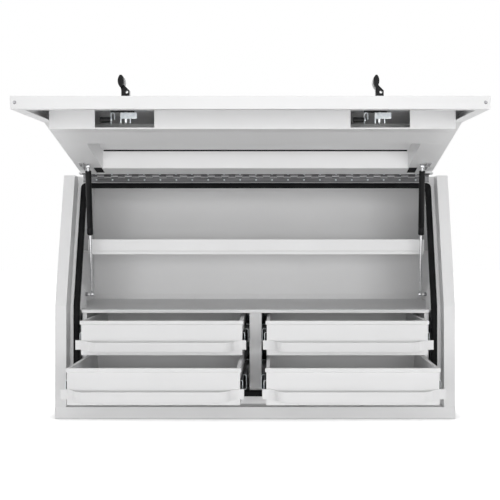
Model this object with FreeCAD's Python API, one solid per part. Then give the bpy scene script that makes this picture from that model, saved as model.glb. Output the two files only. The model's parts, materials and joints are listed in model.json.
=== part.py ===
import FreeCAD, Part
import math
import os

V = FreeCAD.Vector

# Truck toolbox with a knee-bent lift-up lid, two shelves and four drawers.
# Millimetres and degrees. X runs across the box, Y from front to back, Z up.
# The origin is the centre of the footprint, on the surface that the box stands on.
# The shapes are in the open position: lid up, drawers part way out.

# Box
WIDTH = 1200.0
HEIGHT = 738.0
DEPTH = 540.0
SHEET = 2.0
KNEE_HEIGHT = 338.0
SLOPE_RUN = 108.0
FLANGE = 34.0
RECESS = 50.0
LEDGE = 30.0
SILL = 35.0
BOTTOM_LEDGE = 42.0
HEADER = 38.0

# Rubber seal round the opening
SEAL_WIDTH = 17.0
SEAL_CLEAR = 0.3
SEAL_CORNER = 15.0

# Shelves
SHELF_LIP = 10.5
SHELF_UPSTAND = 15.0
SHELF_FRONT = 60.0
UPPER_SHELF_HEIGHT = 501.0
UPPER_SHELF_LIP = 37.0
UPPER_SHELF_FRONT = 157.0
UPPER_SHELF_HEM = 10.0
UPPER_SHELF_RAIL = 11.0
STRUT_NOTCH = 28.0

# Drawers and slides
DRAWER_HEIGHT = 100.0
DRAWER_BELOW = 12.0
DRAWER_BETWEEN = 12.0
DRAWER_ABOVE = 10.5
DRAWER_SHEET = 1.5
DRAWER_SETBACK = 60.0
DRAWER_REAR_ROOM = 88.0
RIM_HEIGHT = 12.0
RIM_PROUD = 3.0
RIM_FLANGE = 9.0
HANDLE_HEIGHT = 25.0
HANDLE_RISE = 14.0
HANDLE_THICK = 3.0
HANDLE_STAND_OFF = 27.0
HANDLE_PAD = 18.0
HANDLE_GAP = 16.0
UPPER_PULL = 139.0
LOWER_PULL = 306.0
STAGE_PULL = 85.0
DIVIDER_WIDTH = 37.0
POST_WIDTH = 14.0
POST_SETBACK = 12.0
POST_CLEAR = 2.0
SLIDE_THICK = 17.0
SLIDE_HEIGHT = 45.0
SLIDE_WALL = 1.5
SLIDE_CLEAR = 0.3
SLIDE_SHORT = 20.0
SLIDE_SETBACK = 0.5
SLIDE_DROP = 4.0

# Lid
LID_OPEN = 88.0
LID_GAP = 4.0
LID_LIP = 30.0
LID_RETURN = 28.0
LID_CORNER = 3.0
FRAME_DEPTH = 55.0
FRAME_RISE = 216.0
FRAME_SIDE_GAP = 8.0
FRAME_TOP_GAP = 10.0
FRAME_FRONT_REACH = 82.0
FRAME_SIDE_WIDTH = 61.0
FRAME_HINGE_WIDTH = 58.0
POCKET_WIDTH = 154.0
POCKET_MARGIN = 4.0
SLOT_LENGTH = 55.0
SLOT_WIDTH = 26.0
RIVET_RADIUS = 3.4
RIVET_INSET = 12.0
RIVET_SIDES = 12

# Continuous hinge
KNUCKLE_RADIUS = 3.6
KNUCKLE_LENGTH = 22.0
KNUCKLE_GAP = 0.4
KNUCKLE_SIDES = 10
PIN_RADIUS = 1.5
PIN_CLEAR = 0.05
LEAF = 1.5
LEAF_WIDTH = 20.0
HINGE_DEPTH = 46.0
HINGE_RISE = 1.0
HINGE_END_GAP = 6.0
SCREW_RADIUS = 3.5
SCREW_HEAD = 1.0
SCREW_PITCH = 50.8
SCREW_SIDES = 8

# Gas struts
STRUT_FOOT_INSET = 16.0
STRUT_FOOT_BACK = 145.0
STRUT_FOOT_RISE = 42.0
STRUT_HEAD_INSET = 26.0
STRUT_HEAD_SPAN = 150.0
STRUT_HEAD_DROP = 7.5
STRUT_BODY_RADIUS = 9.0
STRUT_BODY_LENGTH = 204.0
STRUT_ROD_RADIUS = 4.0
STRUT_ROD_HOLD = 6.0
STRUT_BORE_CLEAR = 0.08
STRUT_EYE_RADIUS = 6.0
STRUT_EYE_WIDTH = 12.0
STRUT_NECK = 14.0
STUD_RADIUS = 3.0
STUD_CLEAR = 0.3
BRACKET = 3.0
BRACKET_OUT = 21.0
BRACKET_HEIGHT = 80.0
BRACKET_REACH = 26.0

# Latches
LATCH_INSET = 230.0
LATCH_SETBACK = 22.0
LATCH_SHAFT_RADIUS = 5.0
LATCH_SHAFT_DEPTH = 43.0
LATCH_CONE = 8.0
LATCH_BORE_CLEAR = 0.05
PLATE_THICK = 4.0
PLATE_LEFT = 72.0
PLATE_RIGHT = 24.0
PLATE_HALF = 22.0
BODY_HALF_X = 20.0
BODY_HALF_U = 14.0
BODY_DEPTH = 9.0
BODY_CLEAR = 0.5
FORK_GAP = 0.3
FORK_CHEEK = 3.0
FORK_HALF = 9.0
FORK_FOOT = 1.2
PIVOT_HEIGHT = 18.0
PIVOT_RADIUS = 3.0
STEM_HALF = 8.0
STEM_RADIUS = 10.5
STEM_TOP = 52.0
GRIP_EYE_HEIGHT = 43.0
GRIP_EYE_RADIUS = 4.0
WING_HALF = 20.0
WING_TOP = 88.0
WING_LEAN = 10.0
WING_THICK = 15.0
LEVER_LONG = 30.0
LEVER_SHORT = 13.0
LEVER_HEIGHT = 16.0
LEVER_PLATE = 3.0
LEVER_HUB = 10.0
LEVER_TOP = 11.0
LEVER_LEG = 12.0
NUT_FLATS = 13.0
NUT_HEIGHT = 6.0
BARREL_RADIUS = 7.0
BARREL_LENGTH = 28.0
BARREL_OFFSET = 40.0
BARREL_DEPTH = 29.0
CLIP_WIDTH = 12.0
CLIP_WIRE = 3.0
CLIP_LENGTH = 34.0

# Values that follow from the driving dimensions
HALF = WIDTH / 2
FRONT = -DEPTH / 2
BACK = DEPTH / 2
INNER_HALF = HALF - SHEET
INNER_BACK = BACK - SHEET
SLOPE = math.atan2(SLOPE_RUN, HEIGHT - KNEE_HEIGHT)
JAMB = HALF - FLANGE
OPENING_HALF = JAMB - LEDGE
OPENING_BOTTOM = SILL + BOTTOM_LEDGE
OPENING_TOP = HEIGHT - HEADER
SEAL_NEAR = LID_LIP + SEAL_CLEAR
LOWER_DRAWER_Z = OPENING_BOTTOM + DRAWER_BELOW
UPPER_DRAWER_Z = LOWER_DRAWER_Z + DRAWER_HEIGHT + DRAWER_BETWEEN
SHELF_TOP = UPPER_DRAWER_Z + DRAWER_HEIGHT + DRAWER_ABOVE + SHELF_LIP
SHELF_UNDER = SHELF_TOP - SHEET
SHELF_Y = FRONT + SHELF_FRONT
UPPER_SHELF_Y = FRONT + UPPER_SHELF_FRONT
POST_OUTER = OPENING_HALF - POST_CLEAR
POST_INNER = POST_OUTER - POST_WIDTH
POST_Y = SHELF_Y + POST_SETBACK
DRAWER_OUTER = POST_INNER - SLIDE_THICK
DRAWER_INNER = DIVIDER_WIDTH / 2 + SLIDE_THICK
DRAWER_Y = FRONT + DRAWER_SETBACK
DRAWER_DEPTH = INNER_BACK - DRAWER_REAR_ROOM - DRAWER_Y
SLIDE_Y = POST_Y + SHEET
SLIDE_LENGTH = DRAWER_DEPTH - SLIDE_SHORT
OUTER_SLIDE_Y = DRAWER_Y + STAGE_PULL + SLIDE_SETBACK
OUTER_SLIDE_LENGTH = SLIDE_Y + SLIDE_LENGTH - OUTER_SLIDE_Y
LID_HALF = JAMB - LID_GAP
LID_BOTTOM = SILL + LID_GAP
FRAME_BOTTOM = LID_BOTTOM + FRAME_RISE
FRAME_HALF = OPENING_HALF - FRAME_SIDE_GAP
FRAME_TOP = OPENING_TOP - FRAME_TOP_GAP
FRAME_FRONT_TOP = KNEE_HEIGHT + FRAME_FRONT_REACH
FRAME_INNER = FRAME_HALF - FRAME_SIDE_WIDTH
HINGE_Z = HEIGHT + HINGE_RISE
LEAF_BOTTOM = HINGE_Z - LEAF_WIDTH
LATCH_Z = FRAME_BOTTOM + LATCH_SETBACK
LATCH_X = LID_HALF - LATCH_INSET
STRUT_FOOT_X = OPENING_HALF - STRUT_FOOT_INSET
STRUT_HEAD_X = FRAME_HALF - STRUT_HEAD_INSET


def fuse(first, *others):
    """One solid from pieces that meet."""
    return first.multiFuse(list(others)).removeSplitter()


def box(x0, x1, y0, y1, z0, z1):
    """A block between two corners."""
    return Part.makeBox(x1 - x0, y1 - y0, z1 - z0, V(x0, y0, z0))


def prism(points, along):
    """A closed outline pushed along a vector."""
    wire = Part.makePolygon(points + [points[0]])
    return Part.Face(wire).extrude(along)


def extrude_x(outline, x0, x1):
    """An outline of (y, z) points, pushed from one X plane to another."""
    return prism([V(x0, y, z) for y, z in outline], V(x1 - x0, 0, 0))


def rod(radius, start, end):
    """A round bar between two points."""
    return Part.makeCylinder(radius, (end - start).Length, start, end - start)


def many_sided(radius, sides, start, end):
    """A round bar drawn with flat sides, for small pieces that repeat."""
    along = end - start
    turn = FreeCAD.Rotation(V(0, 0, 1), along)
    points = []
    for corner in range(sides):
        angle = 2 * math.pi * (corner + 0.5) / sides
        points.append(start + turn.multVec(V(radius * math.cos(angle), radius * math.sin(angle), 0)))
    return prism(points, along)


def mirrored(shape):
    """The same piece on the other side of the box."""
    return shape.mirror(V(0, 0, 0), V(1, 0, 0))


def knee_z(depth):
    """Height of the fold in a sheet that lies this far behind the front."""
    return KNEE_HEIGHT - depth * math.tan(SLOPE / 2)


def front_y(depth, z):
    """Y of a sheet that lies this far behind the folded front, at a height."""
    if z <= knee_z(depth):
        return FRONT + depth
    return FRONT + depth / math.cos(SLOPE) + (z - KNEE_HEIGHT) * math.tan(SLOPE)


def front_edge(depth, low, high):
    """The folded front's line at a depth, as (y, z) points from low to high."""
    points = [(front_y(depth, low), low)]
    if low < knee_z(depth) < high:
        points.append((front_y(depth, knee_z(depth)), knee_z(depth)))
    points.append((front_y(depth, high), high))
    return points


def band(near, far, low, high, left, right):
    """A strip that follows the folded front between two depths and two heights."""
    outline = front_edge(near, low, high) + front_edge(far, low, high)[::-1]
    return extrude_x(outline, left, right)


HINGE_AXIS = V(0, front_y(HINGE_DEPTH, HINGE_Z), HINGE_Z)


def swung_open(shape):
    """A piece of the shut lid, turned to the open lid's place."""
    shape.rotate(HINGE_AXIS, V(1, 0, 0), -LID_OPEN)
    return shape


def side_panel():
    """Right side: a plate with its front edge folded into flange, step and ledge."""
    top = HEIGHT - SHEET
    outline = [(FRONT, 0), (FRONT, KNEE_HEIGHT), (FRONT + SLOPE_RUN, HEIGHT), (BACK, HEIGHT), (BACK, 0)]
    plate = extrude_x(outline, INNER_HALF, HALF)
    flange = band(0, SHEET, SILL, top, JAMB, INNER_HALF)
    step = band(SHEET, RECESS, SILL, top, JAMB, JAMB + SHEET)
    ledge = band(RECESS, RECESS + SHEET, SILL, top, OPENING_HALF, JAMB + SHEET)
    return fuse(plate, flange, step, ledge)


def back_panel():
    return box(-INNER_HALF, INNER_HALF, INNER_BACK, BACK, 0, HEIGHT - SHEET)


def floor_panel():
    return box(-INNER_HALF, INNER_HALF, FRONT + SHEET, INNER_BACK, 0, SHEET)


def top_panel():
    """Top plate with the header folded down behind the hinge and an ear over each flange."""
    low = HEIGHT - SHEET
    edge = front_y(RECESS, HEIGHT)
    plate = box(-INNER_HALF, INNER_HALF, edge, BACK, low, HEIGHT)
    header = band(RECESS, RECESS + SHEET, OPENING_TOP, low, -OPENING_HALF, OPENING_HALF)
    right_ear = box(JAMB, INNER_HALF, FRONT + SLOPE_RUN, edge, low, HEIGHT)
    return fuse(plate, header, right_ear, mirrored(right_ear))


def front_sill():
    """Bottom rail: front face, step back under the lid and the ledge below the opening."""
    ledge_back = FRONT + RECESS + SHEET
    face = box(-INNER_HALF, INNER_HALF, FRONT, FRONT + SHEET, 0, SILL)
    step = box(-JAMB, JAMB, FRONT + SHEET, ledge_back, SILL - SHEET, SILL)
    ledge = box(-OPENING_HALF, OPENING_HALF, FRONT + RECESS, ledge_back, SILL - SHEET, OPENING_BOTTOM)
    return fuse(face, step, ledge)


def door_seal():
    """Rubber strip on the ledge, once round the opening, with rounded upper corners."""
    outer = OPENING_HALF + SEAL_WIDTH
    low = OPENING_BOTTOM - SEAL_WIDTH
    high = OPENING_TOP + SEAL_WIDTH * math.cos(SLOPE)
    right = band(SEAL_NEAR, RECESS, low, high, OPENING_HALF, outer)
    top = band(SEAL_NEAR, RECESS, OPENING_TOP, high, -OPENING_HALF, OPENING_HALF)
    bottom = box(-OPENING_HALF, OPENING_HALF, FRONT + SEAL_NEAR, FRONT + RECESS, low, OPENING_BOTTOM)
    seal = fuse(right, mirrored(right), top, bottom)
    corners = []
    for edge in seal.Edges:
        middle = edge.CenterOfMass
        if abs(abs(middle.x) - outer) < 0.01 and abs(middle.z - high) < 0.01:
            corners.append(edge)
    return seal.makeFillet(SEAL_CORNER, corners)


def upper_shelf():
    """Tray shelf with a raised front lip, hemmed, and its front corners cut back for the struts."""
    z = UPPER_SHELF_HEIGHT
    lip_top = z + UPPER_SHELF_LIP
    ends = OPENING_HALF
    rail_y = UPPER_SHELF_Y + UPPER_SHELF_HEM
    plate = box(-INNER_HALF, INNER_HALF, UPPER_SHELF_Y + STRUT_NOTCH, INNER_BACK, z, z + SHEET)
    nose = box(-ends, ends, UPPER_SHELF_Y, UPPER_SHELF_Y + STRUT_NOTCH, z, z + SHEET)
    lip = box(-ends, ends, UPPER_SHELF_Y, UPPER_SHELF_Y + SHEET, z, lip_top)
    hem = box(-ends, ends, UPPER_SHELF_Y, UPPER_SHELF_Y + UPPER_SHELF_HEM, lip_top - SHEET, lip_top)
    rail = box(-ends, ends, rail_y, rail_y + SHEET, z - UPPER_SHELF_RAIL, z)
    return fuse(plate, nose, lip, hem, rail)


def lower_shelf():
    """Floor of the main compartment, with a front lip down and a rear edge turned up."""
    plate = box(-INNER_HALF, INNER_HALF, SHELF_Y + SHEET, INNER_BACK, SHELF_UNDER, SHELF_TOP)
    lip_low = SHELF_TOP - SHELF_LIP
    lip = box(-POST_OUTER, POST_OUTER, SHELF_Y, SHELF_Y + SHEET, lip_low, SHELF_TOP)
    upstand_low = SHELF_TOP
    upstand_high = SHELF_TOP + SHELF_UPSTAND
    upstand = box(-INNER_HALF, INNER_HALF, INNER_BACK - SHEET, INNER_BACK, upstand_low, upstand_high)
    return fuse(plate, lip, upstand)


def centre_divider():
    """Folded post between the drawers, open at the back."""
    half = DIVIDER_WIDTH / 2
    rear = SLIDE_Y + SLIDE_LENGTH
    face = box(-half, half, POST_Y, POST_Y + SHEET, SHEET, SHELF_UNDER)
    right = box(half - SHEET, half, POST_Y + SHEET, rear, SHEET, SHELF_UNDER)
    return fuse(face, right, mirrored(right))


def slide_post():
    """Right-hand channel that carries the outer slides of the drawers beside it."""
    rear = SLIDE_Y + SLIDE_LENGTH
    web = box(POST_INNER, POST_INNER + SHEET, POST_Y, rear, SHEET, SHELF_UNDER)
    face = box(POST_INNER, POST_OUTER, POST_Y, POST_Y + SHEET, SHEET, SHELF_UNDER)
    tail = box(POST_INNER, POST_OUTER, rear - SHEET, rear, SHEET, SHELF_UNDER)
    return fuse(web, face, tail)


def slide_channel(web, flange, height, length):
    """One slide member as (t, z) blocks: t runs from the fixed side to the drawer."""
    wall = SLIDE_WALL
    spine = box(web, web + wall, 0, length, -height / 2, height / 2)
    upper = box(flange[0], flange[1], 0, length, height / 2 - wall, height / 2)
    lower = box(flange[0], flange[1], 0, length, -height / 2, -height / 2 + wall)
    return fuse(spine, upper, lower)


def slide_member(name):
    """Outer, middle or inner member of a three-part telescopic slide."""
    step = 2 * (SLIDE_WALL + SLIDE_CLEAR)
    if name == "outer":
        return slide_channel(0, (0, SLIDE_THICK * 0.7), SLIDE_HEIGHT, OUTER_SLIDE_LENGTH)
    if name == "middle":
        flange = (SLIDE_WALL * 1.5, SLIDE_THICK * 0.87)
        return slide_channel(SLIDE_THICK * 0.45, flange, SLIDE_HEIGHT - step, SLIDE_LENGTH)
    web = SLIDE_THICK - SLIDE_WALL
    return slide_channel(web, (SLIDE_THICK * 0.58, web), SLIDE_HEIGHT - 2 * step, SLIDE_LENGTH)


def slide_pair(name, side, bottom, front):
    """The two like members of one drawer's slides, at the drawer's height, from a front end on."""
    z = bottom + DRAWER_HEIGHT / 2 - SLIDE_DROP
    at_divider = slide_member(name)
    at_divider.translate(V(DIVIDER_WIDTH / 2, front, z))
    at_post = mirrored(slide_member(name))
    at_post.translate(V(POST_INNER, front, z))
    pair = Part.makeCompound([at_divider, at_post])
    return pair if side > 0 else mirrored(pair)


def drawer_tray(side, bottom, pull):
    """Open steel tray with a folded rim, and a fatter bead along the top of its front."""
    wall = DRAWER_SHEET
    top = bottom + DRAWER_HEIGHT
    y0 = DRAWER_Y - pull
    y1 = y0 + DRAWER_DEPTH
    x0 = DRAWER_INNER
    x1 = DRAWER_OUTER
    base = box(x0, x1, y0, y1, bottom, bottom + wall)
    front = box(x0, x1, y0, y0 + wall, bottom, top)
    rear = box(x0, x1, y1 - wall, y1, bottom, top)
    inner = box(x0, x0 + wall, y0, y1, bottom, top)
    outer = box(x1 - wall, x1, y0, y1, bottom, top)
    inner_rim = box(x0, x0 + RIM_FLANGE, y0, y1, top - wall, top)
    outer_rim = box(x1 - RIM_FLANGE, x1, y0, y1, top - wall, top)
    rear_rim = box(x0, x1, y1 - RIM_FLANGE, y1, top - wall, top)
    bead = box(x0, x1, y0 - RIM_PROUD, y0 + wall, top - RIM_HEIGHT, top)
    lengthwise = [e for e in bead.Edges if e.BoundBox.XLength > 1 and e.CenterOfMass.y < y0]
    bead = bead.makeFillet(RIM_PROUD * 0.9, lengthwise)
    tray = fuse(base, front, rear, inner, outer, inner_rim, outer_rim, rear_rim, bead)
    return tray if side > 0 else mirrored(tray)


def drawer_handle(side, bottom, pull):
    """Flat strip across the drawer, joggled forward to leave room for fingers."""
    face = DRAWER_Y - pull
    near = face - HANDLE_STAND_OFF
    z = bottom + HANDLE_RISE
    x0 = DRAWER_INNER - SLIDE_THICK * 0.7
    x1 = DRAWER_OUTER + SLIDE_THICK
    pad0 = DRAWER_INNER + HANDLE_PAD
    pad1 = DRAWER_OUTER - HANDLE_PAD
    bend = HANDLE_THICK * math.tan(math.pi / 8)
    ramp = HANDLE_STAND_OFF
    back = [(x0, face), (pad0, face), (pad0 + ramp, near), (pad1 - ramp, near), (pad1, face), (x1, face)]
    fore = [(x1, -0.0), (pad1 + bend, 0.0), (pad1 - ramp + bend, 1.0), (pad0 + ramp - bend, 1.0),
            (pad0 - bend, 0.0), (x0, 0.0)]
    front = [(x, face - HANDLE_THICK - HANDLE_STAND_OFF * out) for x, out in fore]
    outline = [V(x, y, z) for x, y in back + front]
    strip = prism(outline, V(0, 0, HANDLE_HEIGHT))
    return strip if side > 0 else mirrored(strip)


def lid_skin():
    """Knee-bent lid sheet with a lip and return on three sides and the hinge flange on the fourth."""
    inner = LID_HALF - SHEET
    top = HEIGHT
    flange_far = HINGE_DEPTH - KNUCKLE_RADIUS
    skin = band(0, SHEET, LID_BOTTOM, top, -LID_HALF, LID_HALF)
    lip = band(SHEET, LID_LIP, LID_BOTTOM, top, inner, LID_HALF)
    turn = band(LID_LIP - SHEET, LID_LIP, LID_BOTTOM, top, LID_HALF - LID_RETURN, inner)
    low_lip = box(-inner, inner, FRONT + SHEET, FRONT + LID_LIP, LID_BOTTOM, LID_BOTTOM + SHEET)
    turn_y = FRONT + LID_LIP - SHEET
    low_turn = box(-inner, inner, turn_y, turn_y + SHEET, LID_BOTTOM, LID_BOTTOM + LID_RETURN)
    top_lip = band(SHEET, flange_far, top - SHEET, top, -inner, inner)
    hinge_flange = band(flange_far - SHEET, flange_far, LEAF_BOTTOM, top - SHEET, -inner, inner)
    lid = fuse(skin, lip, mirrored(lip), turn, mirrored(turn), low_lip, low_turn, top_lip, hinge_flange)
    corners = []
    for edge in lid.Edges:
        middle = edge.CenterOfMass
        if abs(abs(middle.x) - LID_HALF) < 0.01 and abs(middle.z - LID_BOTTOM) < 0.01:
            corners.append(edge)
    lid = lid.makeFillet(LID_CORNER, corners)
    cutters = []
    for side in (-1, 1):
        hole_x = BODY_HALF_X + BODY_CLEAR
        hole_u = BODY_HALF_U + BODY_CLEAR
        x = side * LATCH_X
        cutters.append(box(x - hole_x, x + hole_x, FRONT, FRONT + SHEET, LATCH_Z - hole_u, LATCH_Z + hole_u))
        low = V(side * (LID_HALF - RIVET_INSET), FRONT + LID_LIP / 2, LID_BOTTOM)
        cutters.append(rod(RIVET_RADIUS / 2 + PIN_CLEAR, low, low + V(0, 0, SHEET)))
    return lid.cut(cutters)


def lid_rivets():
    """A round head on the lip at each lower corner of the lid, with its shank."""
    rivets = []
    for side in (-1, 1):
        seat = V(side * (LID_HALF - RIVET_INSET), FRONT + LID_LIP / 2, LID_BOTTOM)
        head = many_sided(RIVET_RADIUS, RIVET_SIDES, seat - V(0, 0, SHEET / 2), seat)
        shank = many_sided(RIVET_RADIUS / 2, RIVET_SIDES, seat, seat + V(0, 0, SHEET))
        rivets.append(fuse(head, shank))
    return Part.makeCompound(rivets)


def frame_front():
    """Deep front member of the lid's inner frame, over the knee, with a window at each latch."""
    far = FRAME_DEPTH
    near = far - SHEET
    half = FRAME_HALF
    face = box(-half, half, FRONT + SHEET, FRONT + near, FRAME_BOTTOM, FRAME_BOTTOM + SHEET)
    under = band(near, far, FRAME_BOTTOM, FRAME_FRONT_TOP, -half, half)
    rear = band(SHEET, near, FRAME_FRONT_TOP - SHEET, FRAME_FRONT_TOP, -FRAME_INNER, FRAME_INNER)
    right = band(SHEET, near, FRAME_BOTTOM + SHEET, FRAME_FRONT_TOP, half - SHEET, half)
    member = fuse(face, under, rear, right, mirrored(right))
    windows = []
    for side in (-1, 1):
        x0 = side * LATCH_X - POCKET_WIDTH / 2
        windows.append(box(x0, x0 + POCKET_WIDTH, FRONT + SHEET, FRONT + far - POCKET_MARGIN,
                           FRAME_BOTTOM, FRAME_BOTTOM + SHEET))
    return member.cut(windows)


def frame_side():
    """Right-hand channel of the lid's inner frame, with a slot near the hinge."""
    far = FRAME_DEPTH
    near = far - SHEET
    low = FRAME_FRONT_TOP
    outer = band(SHEET, near, low, FRAME_TOP, FRAME_HALF - SHEET, FRAME_HALF)
    inner = band(SHEET, near, low, FRAME_TOP, FRAME_INNER, FRAME_INNER + SHEET)
    under = band(near, far, low, FRAME_TOP, FRAME_INNER, FRAME_HALF)
    slot_high = FRAME_TOP - SHEET * 4
    slot_x = FRAME_INNER + SHEET
    slot = band(near, far, slot_high - SLOT_LENGTH, slot_high, slot_x, slot_x + SLOT_WIDTH)
    return fuse(outer, inner, under).cut(slot)


def frame_hinge():
    """Cross channel of the lid's inner frame, along the hinge."""
    far = FRAME_DEPTH
    near = far - SHEET
    low = FRAME_TOP - FRAME_HINGE_WIDTH
    half = FRAME_INNER
    face = band(SHEET, near, low, low + SHEET, -half, half)
    rear = band(SHEET, near, FRAME_TOP - SHEET, FRAME_TOP, -half, half)
    under = band(near, far, low, FRAME_TOP, -half, half)
    return fuse(face, rear, under)


def row_of_spans(pitch):
    """Equal X spans that fill the hinge from end to end, about the middle."""
    count = int(2 * (LID_HALF - HINGE_END_GAP) / pitch)
    start = -count * pitch / 2
    return [(start + index * pitch, start + (index + 1) * pitch) for index in range(count)]


def hinge_leaf(near, first):
    """One leaf of the continuous hinge: a strip and its row of knuckles."""
    spans = row_of_spans(KNUCKLE_LENGTH)
    tab_low = HINGE_Z - KNUCKLE_RADIUS - LEAF
    pieces = [band(near, near + LEAF, LEAF_BOTTOM, tab_low, spans[0][0], spans[-1][1])]
    for x0, x1 in spans[first::2]:
        left = x0 + KNUCKLE_GAP / 2
        right = x1 - KNUCKLE_GAP / 2
        pieces.append(band(near, near + LEAF, tab_low, HINGE_Z, left, right))
        start = V(left, HINGE_AXIS.y, HINGE_Z)
        pieces.append(many_sided(KNUCKLE_RADIUS, KNUCKLE_SIDES, start, V(right, HINGE_AXIS.y, HINGE_Z)))
    bore_radius = (PIN_RADIUS + PIN_CLEAR) / math.cos(math.pi / KNUCKLE_SIDES)
    bore = many_sided(bore_radius, KNUCKLE_SIDES, hinge_end(-1), hinge_end(1))
    return fuse(pieces[0], *pieces[1:]).cut(bore)


def hinge_end(side):
    """The hinge axis at one end of the leaves."""
    spans = row_of_spans(KNUCKLE_LENGTH)
    return V(spans[0][0] if side < 0 else spans[-1][1], HINGE_AXIS.y, HINGE_Z)


def hinge_pin():
    return rod(PIN_RADIUS, hinge_end(-1), hinge_end(1))


def hinge_screws(face, outward):
    """A row of screw heads along one leaf."""
    z = LEAF_BOTTOM + LEAF_WIDTH * 0.4
    normal = V(0, math.cos(SLOPE), -math.sin(SLOPE)) * outward
    heads = []
    for x0, x1 in row_of_spans(SCREW_PITCH):
        seat = V((x0 + x1) / 2, front_y(face, z), z)
        heads.append(many_sided(SCREW_RADIUS, SCREW_SIDES, seat, seat + normal * SCREW_HEAD))
    return Part.makeCompound(heads)


def on_open_lid(x, span, depth):
    """A point of the open lid: distance down the slope from the hinge, and depth behind the skin."""
    down = V(0, -math.sin(SLOPE), -math.cos(SLOPE))
    inward = V(0, math.cos(SLOPE), -math.sin(SLOPE))
    shut = V(x, HINGE_AXIS.y, HINGE_Z) + down * span + inward * (depth - HINGE_DEPTH)
    turn = FreeCAD.Rotation(V(1, 0, 0), -LID_OPEN)
    return HINGE_AXIS + turn.multVec(shut - HINGE_AXIS)


STRUT_FOOT = V(STRUT_FOOT_X, FRONT + STRUT_FOOT_BACK, SHELF_TOP + STRUT_FOOT_RISE)
STRUT_HEAD = on_open_lid(STRUT_HEAD_X, STRUT_HEAD_SPAN, FRAME_DEPTH + STRUT_HEAD_DROP)
STRUT_LINE = (STRUT_HEAD - STRUT_FOOT).normalize()


def strut_eye(centre):
    """Round end of a strut, across the box."""
    half = V(STRUT_EYE_WIDTH / 2, 0, 0)
    return rod(STRUT_EYE_RADIUS, centre - half, centre + half)


def strut_cylinder():
    """Pressure tube with its neck and the socket at the lid."""
    top = STRUT_HEAD - STRUT_LINE * STRUT_NECK
    bottom = top - STRUT_LINE * STRUT_BODY_LENGTH
    tube = rod(STRUT_BODY_RADIUS, bottom, top)
    rim = [e for e in tube.Edges if e.Closed]
    tube = tube.makeChamfer(STRUT_BODY_RADIUS * 0.2, rim)
    neck = rod(STRUT_ROD_RADIUS, top, STRUT_HEAD)
    bore = rod(STRUT_ROD_RADIUS + STRUT_BORE_CLEAR, bottom, top - STRUT_LINE * (STRUT_BODY_RADIUS * 0.2))
    across = V(STRUT_EYE_WIDTH / 2, 0, 0)
    stud_hole = rod(STUD_RADIUS + PIN_CLEAR, STRUT_HEAD - across, STRUT_HEAD + across)
    return fuse(tube, neck, strut_eye(STRUT_HEAD)).cut([bore, stud_hole])


def strut_rod():
    """Bright rod with the socket at the body, entering the tube's lower end."""
    end = STRUT_HEAD - STRUT_LINE * (STRUT_NECK + STRUT_BODY_LENGTH - STRUT_ROD_HOLD)
    return fuse(rod(STRUT_ROD_RADIUS, STRUT_FOOT, end), strut_eye(STRUT_FOOT))


def foot_bracket():
    """Right-hand upright plate behind the ledge, standing on the shelf, that holds the lower stud."""
    low = SHELF_TOP
    high = SHELF_TOP + BRACKET_HEIGHT
    reach = STRUT_FOOT.y + BRACKET_REACH / 2
    x0 = STRUT_FOOT_X + BRACKET_OUT
    front = front_edge(RECESS + SHEET, low, high)
    plate = extrude_x(front + [(reach, high - BRACKET_REACH / 2), (reach, low)], x0, x0 + BRACKET)
    hole = rod(STUD_RADIUS, V(x0, reach - BRACKET_REACH, high - BRACKET_REACH),
               V(x0 + BRACKET, reach - BRACKET_REACH, high - BRACKET_REACH))
    tip = STRUT_FOOT_X + STRUT_EYE_WIDTH / 2 + STUD_CLEAR
    stud = rod(STUD_RADIUS, V(x0, STRUT_FOOT.y, STRUT_FOOT.z), V(tip, STRUT_FOOT.y, STRUT_FOOT.z))
    return fuse(plate.cut(hole), stud)


def head_bracket():
    """Right-hand angle under the open lid's side channel, with the stud that the strut turns on."""
    z = HINGE_Z - STRUT_HEAD_SPAN * math.cos(SLOPE)
    half = BRACKET_REACH / 2
    tip = STRUT_HEAD_X - STRUT_EYE_WIDTH / 2
    x0 = STRUT_HEAD_X + STRUT_EYE_WIDTH / 2 + STUD_RADIUS * 2
    deep = FRAME_DEPTH + STRUT_HEAD_DROP + STRUT_EYE_RADIUS
    foot = band(FRAME_DEPTH, FRAME_DEPTH + BRACKET, z - half, z + half, x0, FRAME_HALF)
    leg = band(FRAME_DEPTH, deep, z - half, z + half, x0, x0 + BRACKET)
    stud = rod(STUD_RADIUS, V(x0, STRUT_HEAD.y, STRUT_HEAD.z), V(tip, STRUT_HEAD.y, STRUT_HEAD.z))
    return fuse(swung_open(fuse(foot, leg)), stud)


# Latch pieces are drawn on the shut lid: x across, h out of the skin, u up the skin.
def latch_point(side, x, h, u):
    return V(side * LATCH_X + x, FRONT - h, LATCH_Z + u)


def latch_box(side, x, h, u):
    """A block on the latch's own axes, each a (low, high) pair."""
    a = latch_point(side, x[0], h[1], u[0])
    b = latch_point(side, x[1], h[0], u[1])
    return box(a.x, b.x, a.y, b.y, a.z, b.z)


def post_rod(side, radius, x, low, high):
    """A round bar that stands out of the skin, between two heights."""
    return rod(radius, latch_point(side, x, low, 0), latch_point(side, x, high, 0))


def cross_rod(side, radius, x, h, low, high):
    """A round bar that lies along the skin, between two places up it."""
    return rod(radius, latch_point(side, x, h, low), latch_point(side, x, h, high))


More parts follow.
